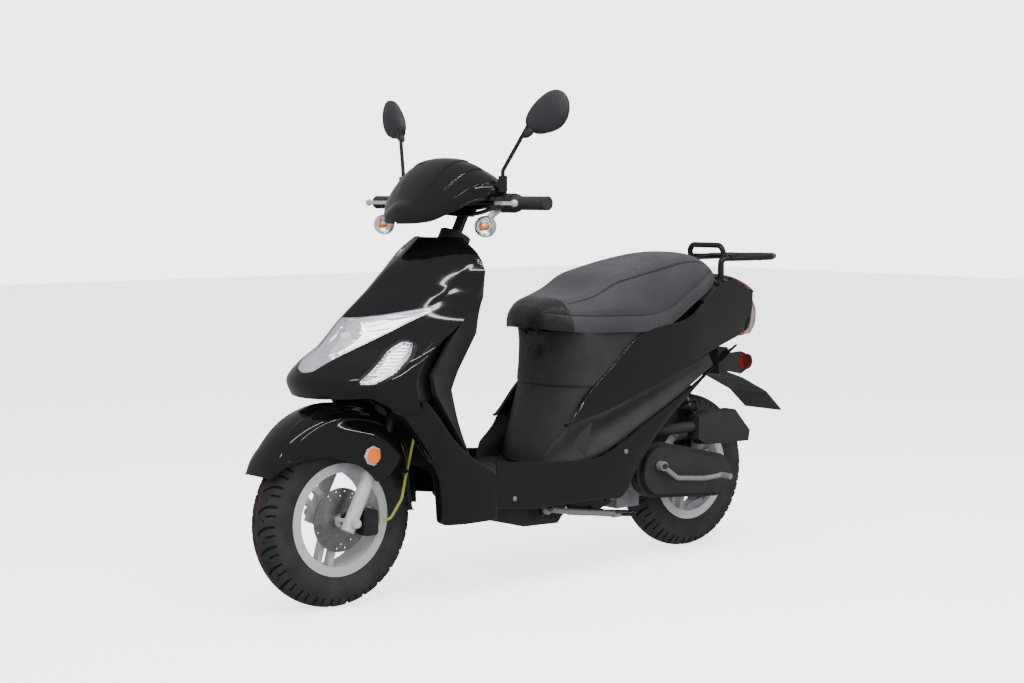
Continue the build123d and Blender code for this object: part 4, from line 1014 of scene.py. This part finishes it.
# %% [markdown]
# Behind the dome a matte cover closes round the instruments: a wide bezel, three round rims, a ring of
# ticks and one needle. They are small turned rings and blocks that stand out from the panel, so the dial
# reads without any print.


# %% Instrument panel
rear_stations = [  # share of the way back, half width, half height, centre above the bar, ahead of the bar
    (0, 0.170, 0.060, 0.026, 0.0), (0.4, 0.150, 0.055, 0.020, -0.022), (0.8, 0.104, 0.040, 0.010, -0.046),
    (1, 0.082, 0.031, 0.008, -0.050),
]


def rear_cover(u, v):
    turn = 2 * pi * u
    half, high, centre, back = along(rear_stations, v)
    return bar_x + back, half * np.cos(turn), bar_z + np.maximum(centre + high * np.sin(turn), -0.036)


cover_back = shell(tidy_mesh(surface("headset_rear", 96, 30, rear_cover)), 0.0025, 0)
fit(cover_back, "steering", "matte_black", "matte_black")
dial_z = bar_z + 0.010
bezel_profile = [(0.0, -0.058), (0.030, -0.058), (0.033, -0.061), (0.036, -0.058), (0.036, -0.040),
                 (0.0, -0.040)]
bezel = turned("bezel", bezel_profile, (bar_x, 0, dial_z), "X", 72)
to_dial = Matrix.Translation((0, 0, dial_z))
bezel.data.transform(to_dial @ Matrix.Diagonal((1, 2.15, 0.80, 1)) @ to_dial.inverted())
panel = [bezel]
for y, r in ((0.0, 0.021), (0.050, 0.013), (-0.050, 0.013)):
    panel.append(turned("ring", [(r, -0.0585), (r, -0.0615), (r - 0.0015, -0.0615), (r - 0.0015, -0.0585)],
                        (bar_x, y, dial_z), "X", 48))
tick_ring = 0.0165
for k in range(11):
    a = radians(-30 + 24 * k)
    spot = (bar_x - 0.0590, tick_ring * cos(a), dial_z + tick_ring * sin(a))
    panel.append(box("tick", spot, (0.0010, 0.0040, 0.0010), 0.0002, (a, 0, 0)))
needle_spot, needle_turn = (bar_x - 0.0592, 0.006, bar_z + 0.006), (radians(-35), 0, 0)
panel.append(box("needle", needle_spot, (0.0008, 0.016, 0.0014), 0.0002, needle_turn))
fit(smooth(joined("instrument_panel", panel)), "steering", "satin_black", "matte_black", "instrument_panel")
print("headset done")

# %% [markdown]
# The front fender wraps over the tyre, and its skirts reach lower and wider beside the fork legs. It is
# drawn by the angle about the axle rather than by length, because the gap to the tyre then follows from
# one radius.


# %% Front fender
fender_stations = [
    # angle, crown radius, lower radius, half width at the crown, half width at the lower edge
    (30, 0.2445, 0.2395, 0.046, 0.050), (36, 0.254, 0.232, 0.055, 0.058),
    (50, 0.264, 0.205, 0.062, 0.066), (66, 0.272, 0.176, 0.065, 0.070),
    (82, 0.276, 0.152, 0.066, 0.076), (98, 0.276, 0.134, 0.070, 0.094),
    (112, 0.274, 0.118, 0.078, 0.102), (122, 0.270, 0.112, 0.080, 0.103),
    (134, 0.256, 0.148, 0.078, 0.098), (148, 0.226, 0.192, 0.070, 0.078),
]


def fender_skin(u, v):
    degrees_up = fender_stations[0][0] + (fender_stations[-1][0] - fender_stations[0][0]) * v
    crown, low, half, low_half = along(fender_stations, degrees_up)
    angle = np.radians(degrees_up)
    across = 2 * u - 1
    over = np.clip(np.abs(across) / 0.46, 0, 1) * pi / 2
    side = np.clip((np.abs(across) - 0.46) / 0.54, 0, 1)
    radius = crown - np.minimum(0.034, 0.7 * (crown - low)) * (1 - np.cos(over))
    radius = radius + (low - radius) * side
    width = half * np.sin(over) + (low_half - half) * step(side, -0.15, 0.32)
    rib = 0.0025 * np.exp(-((np.abs(across) - 0.18) / 0.03) ** 2) * step(v, 0.1, 0.3)
    radius = radius + rib
    return wheel_x + radius * np.cos(angle), -np.sign(across) * width, axle_z + radius * np.sin(angle)


fender = shell(surface("front_fender", 140, 140, fender_skin), 0.0028)
fit(fender, "fork", "gloss_black", "gloss_black", "front_fender")
print("fender:", len(fender.data.polygons), "faces")

# %% [markdown]
# An amber reflector sits on each skirt of the fender: a shallow disc in an eight-sided silver frame. Both
# are turned, the frame in only eight steps.

# %% Fork reflectors
amber, amber_rims = [], []
disc_profile = [(0.0, 0.0), (0.0195, 0.0), (0.0205, 0.002), (0.0185, 0.0055), (0.0, 0.0068)]
ring_profile = [(0.0205, -0.004), (0.0245, -0.004), (0.0245, 0.002), (0.0225, 0.0045), (0.0205, 0.0040)]
spot_x, spot_y, spot_z = 0.6225, 0.1005, 0.372
for side in (1, -1):
    disc = turned("amber", disc_profile, (spot_x, 0, spot_z), "Y", 64)
    ring_piece = turned("ring", ring_profile, (spot_x, 0, spot_z), "Y", 8)
    for piece in (disc, ring_piece):
        piece.data.transform(Matrix.Translation((0, side * spot_y, 0)) @ Matrix.Diagonal((1, side, 1, 1)))
        tidy_mesh(piece)
    amber.append(disc)
    amber_rims.append(ring_piece)
fit(smooth(joined("fork_reflectors", amber)), "fork", "amber_lens", "amber", "fork_reflectors")
fit(smooth(joined("reflector_rims", amber_rims), 20), "fork", "silver", "silver")
print("reflectors:", len(amber), "discs in", len(amber_rims), "frames")

# %% [markdown]
# Each tyre is a ring whose tread is cut by curved grooves, short side cuts and small round pits. The
# grooves could be Booleans, but 26 of each would be slow and leave poor faces. So the ring is fine enough
# to be sunk where they run, and the sunk places are stored for the painted shade that darkens the grooves.

# %% Tyres
tyre_profile = [
    # half width, radius, all round the section
    (-0.026, 0.1290), (-0.034, 0.1330), (-0.0400, 0.1450), (-0.0455, 0.1640), (-0.0455, 0.1780),
    (-0.0415, 0.1920), (-0.0370, 0.2010), (-0.0310, 0.2072), (-0.0200, 0.2122), (-0.0100, 0.2143),
    (0.0, 0.2150), (0.0100, 0.2143), (0.0200, 0.2122), (0.0310, 0.2072), (0.0370, 0.2010),
    (0.0415, 0.1920), (0.0455, 0.1780), (0.0455, 0.1640), (0.0400, 0.1450), (0.034, 0.1330),
    (0.026, 0.1290), (0.030, 0.140), (0.036, 0.166), (0.030, 0.192), (0, 0.203), (-0.030, 0.192),
    (-0.036, 0.166), (-0.030, 0.140), (-0.026, 0.1290),
]
tread_blocks, tread_depth = 26, 0.0042


def tyre(name, x, body):
    """One tyre round its axle, with its tread sunk into the crown."""
    sunk = {}

    def place(u, v):
        knots = [(k, *p) for k, p in enumerate(tyre_profile)]
        y, radius = along(knots, np.where(v < 0.8, v / 0.8 * 20, 20 + (v - 0.8) / 0.2 * 8))
        across, top = np.abs(y) / 0.040, v < 0.8
        phase = u * tread_blocks + 0.5 * (y > 0)
        sweep = 0.42 * (1 - np.clip(across, 0, 1)) ** 2 - 0.12 * across
        near = np.abs((phase + sweep) % 1 - 0.5)
        groove = (near < 0.070) & (across > 0.10) & (across < 1.06)
        short = (np.abs((phase + sweep + 0.45) % 1 - 0.5) < 0.055) & (across > 0.66) & (across < 1.06)
        dot = np.hypot(((phase + 0.62) % 1 - 0.5) * 0.050, y - np.sign(y) * 0.021) < 0.0028
        cut_in = ((groove | short | dot) & top & (radius > 0.185)).astype(float)
        sunk["groove"] = cut_in
        side_rings = 0.0006 * (np.abs(radius - 0.166) < 0.0012) + 0.0006 * (np.abs(radius - 0.150) < 0.0012)
        y = y + np.sign(y) * side_rings * top
        radius = radius - tread_depth * cut_in
        return x + radius * np.cos(2 * pi * u), y, axle_z + radius * np.sin(2 * pi * u)

    piece = surface(name, 1040, 110, place)
    kept = piece.data.attributes.new("groove", "FLOAT", "POINT")
    kept.data.foreach_set("value", sunk["groove"])
    return fit(smooth(tidy_mesh(piece), 60), body, "tyre", "tyre", name)


for name, x, body in (("front_tyre", wheel_x, "front_wheel"), ("rear_tyre", rear_wheel_x, "rear_wheel")):
    print(name, len(tyre(name, x, body).data.polygons), "faces")
print("tread:", tread_blocks, "blocks round each tyre")

# %% [markdown]
# A thin polished lip runs round each side of both cast wheels. It could be painted on the rim, but a
# raised ring catches the light all round, so one is turned for each side from the same profile.

# %% Rim lips
lip_profile = [(0.1375, 0.0300), (0.1385, 0.0330), (0.1350, 0.0345), (0.1315, 0.0330), (0.1290, 0.0290)]
for x, body in ((wheel_x, "front_wheel"), (rear_wheel_x, "rear_wheel")):
    for side in (1, -1):
        lip_ring = turned("rim_lip", lip_profile, (x, 0, axle_z), "Y", 128)
        fit(handed(lip_ring, side), body, "polished", "rim")
print("rim lips:", len(lip_ring.data.polygons), "faces each")

# %% [markdown]
# The seat is one padded cushion: a crowned top, a crease at each flank and a ribbed band low down, with a
# slim nose in front. Its side view and its plan are a few points each, and every section between them is
# a rounded box. The height above its bottom edge, the seam lines and the nose patch are kept for the
# vinyl.

# %% Seat skin
seat_top = [(-0.601, 0.752), (-0.588, 0.779), (-0.560, 0.801), (-0.520, 0.820), (-0.456, 0.833),
            (-0.390, 0.832), (-0.300, 0.820), (-0.220, 0.804), (-0.150, 0.784), (-0.105, 0.760),
            (-0.060, 0.741), (-0.010, 0.729), (0.020, 0.721), (0.046, 0.709), (0.064, 0.695),
            (0.074, 0.678), (0.078, 0.662)]
seat_low = [(-0.601, 0.742), (-0.560, 0.738), (-0.500, 0.714), (-0.430, 0.684), (-0.330, 0.641),
            (-0.260, 0.630), (-0.150, 0.631), (-0.060, 0.634), (0.020, 0.639), (0.060, 0.645),
            (0.078, 0.652)]
seat_half = [(-0.601, 0.040), (-0.592, 0.060), (-0.570, 0.080), (-0.520, 0.102), (-0.456, 0.118),
             (-0.360, 0.138), (-0.233, 0.150), (-0.140, 0.148), (-0.080, 0.142), (-0.030, 0.130),
             (0.010, 0.114), (0.042, 0.092), (0.066, 0.064), (0.078, 0.030)]
cushion_share = 0.72  # of each section's points; the others close it underneath
seat_marks = {}


def seat_skin(u, v):
    x = seat_top[0][0] + (seat_top[-1][0] - seat_top[0][0]) * v
    top, low, half = (along(t, x)[0] for t in (seat_top, seat_low, seat_half))
    tall = top - low
    over = u < cushion_share
    turn = np.clip(u / cushion_share, 0, 1) * pi
    side, up = np.cos(turn), np.sin(turn)
    y = half * np.sign(side) * np.abs(side) ** 0.52
    rise = np.abs(up) ** 0.80
    waist = 0.010 * np.exp(-((rise * tall - seat_band) / 0.012) ** 2) * step(tall, 0.05, 0.09)
    crease = 0.006 * np.exp(-((np.abs(y) / half - 0.72) / 0.10) ** 2)
    crease = crease * step(x, -0.55, -0.30) * (1 - step(x, -0.06, 0.02))
    dish = 0.007 * (1 - (y / half) ** 2) * step(x, -0.14, -0.08) * (1 - step(x, -0.04, 0.03))
    z = low + tall * rise + crease - dish
    y = y - np.sign(y) * waist * 0.25
    under = np.clip((u - cushion_share) / (1 - cushion_share), 0, 1)
    y = np.where(over, y, -half + 2 * half * under)
    z = np.where(over, z, low + 0.004 * np.sin(pi * under))
    arc = x + 0.215 + 1.6 * y * y
    patch_edge = x + 0.002 - 0.15 * (z - 0.66)
    aside = np.abs(y) / half
    seams = [
        np.abs(rise * tall - seat_band) + 0.02 * (tall < 0.05),
        np.abs(aside - 0.80) * half + 0.05 * (x > -0.002) + 0.05 * (rise < 0.5),
        np.abs(arc) + 0.05 * (aside > 0.80),
        np.abs(patch_edge),
    ]
    seat_marks["seam"] = np.where(over, np.minimum.reduce(seams), 0.05)
    seat_marks["rise"] = np.where(over, rise * tall, 0.0)
    seat_marks["nose"] = patch_edge
    return x, y, z


print("seat length:", round(seat_top[-1][0] - seat_top[0][0], 3), "m")

# %% [markdown]
# The skin's two ends are gathered and closed with faces, because a cushion has to be shut all round.

# %% Seat cushion
seat = surface("seat_cushion", 280, 260, seat_skin)
for name, values in seat_marks.items():
    seat.data.attributes.new(name, "FLOAT", "POINT").data.foreach_set("value", values)
only(seat)
bpy.ops.object.mode_set(mode="EDIT")
bpy.ops.mesh.select_all(action="SELECT")
bpy.ops.mesh.remove_doubles(threshold=0.0003)
bpy.ops.mesh.select_all(action="DESELECT")
bpy.ops.mesh.select_non_manifold()
bpy.ops.mesh.edge_face_add()
bpy.ops.mesh.select_all(action="SELECT")
bpy.ops.mesh.normals_make_consistent(inside=False)
bpy.ops.object.mode_set(mode="OBJECT")
fit(smooth(seat, 60), "seat", "seat", "seat", "seat_cushion")
print("seat:", len(seat.data.polygons), "faces")

# %% [markdown]
# Each mirror head is a flattened drop: a rounded shell with the glass let into the rider's side and a
# small socket where its stalk enters. The left one is modelled upright at the origin, then leaned and
# turned outward as one piece, and the right one is its mirror image.

# %% Mirrors
head_centre = Vector((0.255, 0.303, 1.1775))


def mirror_head(u, v):
    """A drop lying in the width and height, with its thickness forward. The rear side is flat."""
    a, t = 2 * pi * u, pi * v
    reach = np.sin(t)
    across, up = np.cos(a) * reach, np.sin(a) * reach
    wide = 0.073 * (1 + 0.16 * up) * across * (1 - 0.20 * (across < 0) * np.abs(across) ** 2)
    tall = 0.047 * up * (1 + 0.30 * across - 0.12 * (up < 0))
    depth = np.cos(t)
    x = np.where(depth > 0, 0.017 * np.abs(depth), -0.008 * np.minimum(1, np.abs(depth) * 6))
    return x, wide, tall


toe, tilt = Matrix.Rotation(radians(12), 4, "Z"), Matrix.Rotation(radians(28), 4, "X")
lean = Matrix.Translation(head_centre) @ toe @ tilt
head = tidy_mesh(surface("mirror_head_left", 72, 48, mirror_head))
glass = ball("mirror_glass_left", (-0.0078, 0.002, 0.001), (0.0012, 0.062, 0.038))
socket = ball("mirror_socket_left", (0.004, -0.062, -0.010), (0.009, 0.020, 0.011))
for piece in (head, glass, socket):
    piece.data.transform(lean)
    smooth(piece, 40)
head = joined("mirror_head_left", [head, socket])
for piece, finish, names in ((head, "mirror_shell", ("mirror_head_left",)), (glass, "mirror", ())):
    twin = mirrored(piece, piece.name.replace("left", "right"))
    fit(piece, "mirror_left", finish, "mirror_shell", *names)
    fit(twin, "mirror_right", finish, "mirror_shell", *(n.replace("left", "right") for n in names))
print("mirror head:", len(head.data.polygons), "faces")

# %% [markdown]
# The rubber grips have a wide inner flange, rings along their length and a rounded end. All of it is one
# profile turned about the bar, and the rings come from a loop.

# %% Grips
grip_profile = [(0.0112, 0.225), (0.0205, 0.225), (0.0213, 0.228), (0.0213, 0.233), (0.0170, 0.2345)]
for k in range(24):
    y = 0.237 + 0.0042 * k
    grip_profile += [(0.0163, y), (0.0169, y + 0.0006), (0.0169, y + 0.0026), (0.0163, y + 0.0032)]
grip_profile += [(0.0172, 0.3395), (0.0172, 0.3415), (0.0160, 0.3428), (0.0, 0.3428), (0.0, 0.3405),
                 (0.0112, 0.3405)]
grip = turned("left_grip", grip_profile, (bar_x, 0, bar_z), "Y", 64)
other = mirrored(grip, "throttle_grip")
fit(grip, "steering", "rubber", "rubber", "left_grip")
fit(other, "throttle", "rubber", "rubber", "throttle_grip")
print("grips:", len(grip.data.polygons), "faces each")

# %% [markdown]
# A turn signal hangs under each end of the headset: a clear dome over an amber bulb, a plated cup behind
# it and a short bent stalk. The dome has a real wall with an inner and an outer side, because a lens
# without thickness bends no light.

# %% Turn signals
shells, glows, stems = [], [], []
dome_profile = [(0.0, 0.0262), (0.010, 0.0250), (0.018, 0.0205), (0.0235, 0.0130), (0.0258, 0.004),
                (0.0258, -0.004), (0.0240, -0.0045), (0.0240, 0.003), (0.0218, 0.0118), (0.0165, 0.0186),
                (0.009, 0.0228), (0.0, 0.0238)]
cup_profile = [(0.0, -0.026), (0.010, -0.0245), (0.018, -0.0195), (0.0240, -0.0115), (0.0262, -0.004),
               (0.0262, -0.0005), (0.0245, -0.001), (0.0225, -0.008), (0.0160, -0.014), (0.0, -0.017)]
for side in (1, -1):
    spot = Vector((0.361, side * 0.205, 0.9145))
    shells.append(turned("lens", dome_profile, spot, "X", 64))
    stems.append(turned("shell", cup_profile, spot, "X", 64))
    bend = [(-0.016, -side * 0.010, 0.012), (-0.030, -side * 0.014, 0.030), (-0.052, -side * 0.014, 0.040)]
    stems.append(rod("stalk", [spot + Vector(step_out) for step_out in bend], 0.009))
    glows.append(ball("glow", spot + Vector((0.002, 0, 0)), (0.012, 0.0085, 0.0085)))
fit(smooth(joined("turn_signals", shells)), "steering", "lens", "lens", "turn_signals")
fit(smooth(joined("signal_shells", stems)), "steering", "reflector", "silver")
fit(smooth(joined("signal_bulbs", glows)), "steering", "amber_bulb", "amber")
print("turn signals:", len(shells), "domes")

# %% [markdown]
# The tail lamp wraps round the end of the tail: a clear ribbed band over a red tray, with a red cap on
# top. All three follow the same rounded outline, drawn in a little further for each layer, so one
# function gives their rows.

# %% Tail lamp
def lamp_rows(shrink, heights):
    rows = []
    for z in heights:
        side_x, half, back_x = along([(0.592, -0.640, 0.088, -0.764), (0.628, -0.652, 0.088, -0.790),
                                      (0.690, -0.684, 0.079, -0.780), (0.714, -0.700, 0.073, -0.766)], z)
        side_x, half, back_x = float(side_x) - shrink * 0.2, float(half) - shrink, float(back_x) + shrink
        rows.append([(side_x, -half, z), ((side_x + back_x) / 2, -half * 0.90, z),
                     (back_x + 0.018, -half * 0.62, z), (back_x, 0, z), (back_x + 0.018, half * 0.62, z),
                     ((side_x + back_x) / 2, half * 0.90, z), (side_x, half, z)][::-1])
    return rows


clear_band = shell(net("tail_lamp", lamp_rows(0.0, (0.594, 0.62, 0.66, 0.692)), 90, 30), 0.0025, 0)
fit(clear_band, "chassis", "tail_lens", "red_lens", "tail_lamp")
red_cap = shell(net("tail_lamp_cap", lamp_rows(0.0005, (0.693, 0.70, 0.708, 0.714)), 90, 16), 0.003, 0.0005)
fit(red_cap, "chassis", "red_lens", "red_lens")
tail_tray = shell(net("tail_lamp_tray", lamp_rows(0.014, (0.590, 0.62, 0.66, 0.712)), 90, 30), 0.002, 0)
fit(tail_tray, "chassis", "red_inside", "red_lens")
print("tail lamp:", len(clear_band.data.polygons), "faces in its band")

# %% [markdown]
# Round-headed screws with a recess hold the panels at a few places. One profile is turned at each place,
# and the right-hand ones are turned over.

# %% Panel screws
screws = []
screw_profile = [(0.0, 0.0), (0.0055, 0.0), (0.0062, 0.0012), (0.0055, 0.0026), (0.0028, 0.0030),
                 (0.0024, 0.0018), (0.0, 0.0018)]
for side in (1, -1):
    for spot in ((-0.378, 0.1435, 0.617), (0.240, 0.1705, 0.236), (-0.150, 0.1640, 0.318)):
        head_piece = turned("screw", screw_profile, spot, "Y", 32)
        screws.append(handed(head_piece, side))
fit(smooth(joined("panel_screws", screws)), "chassis", "steel", "steel")
print(len(screws), "panel screws")

# %% [markdown]
# Frame tubes, rims, stands, the rack and other hard pieces already have their true shape in the frame.
# Modelling them again would add nothing, so they keep it and only take a finish.

# %% Kept pieces
kept = {
    "rim": "front_rim rear_rim fork_legs",
    "disc": "brake_disc",
    "dark_casting": "brake_caliper",
    "casting": "crankcase rear_brake_arm",
    "matte_black": "inner_leg_shield belly_pan bag_hook storage_bucket seat_pan air_filter_box fuel_tank "
                   "switch_housings horn_button indicator_switch starter_button mudflap cvt_cover",
    "floor_grey": "floorboard",
    "rubber": "intake_bellows",
    "hose_guard": "brake_hose",
    "black_tube": "main_frame steering_stem rear_rack mirror_stalks exhaust centre_stand shock_body "
                  "shock_spring",
    "polished": "brake_lever_left brake_lever_right",
    "steel": "ignition_lock kick_lever side_stand shock_rod",
    "red_lens": "rear_reflectors",
}
for finish, names in kept.items():
    for name in names.split():
        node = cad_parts[name]
        node.data.materials.clear()
        node.data.materials.append(finishes[finish])
print("finished", sum(len(names.split()) for names in kept.values()), "kept pieces")

# %% [markdown]
# The scooter stands on a plain pale floor. A white floor would shine grey into the gloss black, so
# reflections do not see it at all.

# %% Floor
floor = box("floor", (0, 0, -0.01), (30, 30, 0.02), 0.001)
ground = Finish("pale_floor", base_color=(0.92, 0.92, 0.92))
ground.set("Roughness", ground.noise(3).ramp(0.3, 0.7, 0.6, 0.75))
ground.shader.inputs["Emission Color"].default_value = (1, 1, 1, 1)
ground.shader.inputs["Emission Strength"].default_value = 2.2
floor.data.materials.append(ground.material)
floor.visible_glossy = floor.visible_diffuse = floor.visible_transmission = False
print("floor at", round(floor.location.z, 3), "m")

# %% [markdown]
# The pale sky has to look bright to the camera and stay dark in the gloss. A Light Path node tells the
# rays apart, so each kind of ray gets a sky of its own strength.

# %% World
world = bpy.data.worlds.new("studio")
bpy.context.scene.world = world
world.use_nodes = True
nodes, links = world.node_tree.nodes, world.node_tree.links
path = nodes.new("ShaderNodeLightPath")
last = nodes["Background"]
last.inputs["Color"].default_value, last.inputs["Strength"].default_value = (0.95, 0.97, 1, 1), 0.8
for ray, strength in (("Is Glossy Ray", 0.27), ("Is Transmission Ray", 0.7), ("Is Camera Ray", 4.0)):
    sky, mix = nodes.new("ShaderNodeBackground"), nodes.new("ShaderNodeMixShader")
    sky.inputs["Strength"].default_value = strength
    sky.inputs["Color"].default_value = (1, 1, 1, 1)
    links.new(path.outputs[ray], mix.inputs[0])
    links.new(last.outputs[0], mix.inputs[1])
    links.new(sky.outputs[0], mix.inputs[2])
    last = mix
links.new(last.outputs[0], nodes["World Output"].inputs[0])
print("world ready")

# %% [markdown]
# Large soft lights shape the panels but would show as broad white patches, so reflections do not see
# them. Two long narrow ones are seen, and they draw thin streaks along the gloss black.


# %% Lights
def soft_light(name, spot, aim, size, power, seen=False):
    """A rectangle of light, seen in reflections or not."""
    lamp = bpy.data.lights.new(name, "AREA")
    lamp.shape, lamp.energy = "RECTANGLE", power
    lamp.size, lamp.size_y = size
    made = bpy.data.objects.new(name, lamp)
    bpy.context.collection.objects.link(made)
    made.location = spot
    made.rotation_euler = (Vector(aim) - Vector(spot)).to_track_quat("-Z", "Y").to_euler()
    made.visible_glossy = seen


soft_light("above", (0.4, 0.8, 3.6), (0, 0, 0.4), (3.6, 3.0), 210)
soft_light("front", (4.2, 2.2, 2.4), (0.2, 0, 0.6), (2.0, 2.0), 130)
soft_light("left", (-1.0, 4.4, 1.8), (-0.2, 0, 0.5), (3.0, 1.6), 90)
soft_light("streak above", (0.9, 1.6, 3.2), (0.2, 0, 0.7), (3.4, 0.10), 18, True)
soft_light("streak left", (-0.6, 4.0, 2.6), (0, 0, 0.6), (3.0, 0.08), 22, True)

# %% [markdown]
# The camera looks from the front left, at about the height of the handlebar, through a long lens that
# keeps the wheels round.

# %% Camera
camera = bpy.data.cameras.new("camera")
camera.lens, camera.sensor_width, camera.clip_end = 63.29, 36, 100
eye = bpy.data.objects.new("camera", camera)
bpy.context.collection.objects.link(eye)
turn, dip = radians(40.335), radians(4.697)
eye.location = (3.1169, 3.5486, 0.9935)
view_line = Vector((-sin(turn) * cos(dip), -cos(turn) * cos(dip), -sin(dip)))
eye.rotation_euler = view_line.to_track_quat("-Z", "Y").to_euler()
bpy.context.scene.camera = eye

print("camera at", [round(v, 2) for v in eye.location])
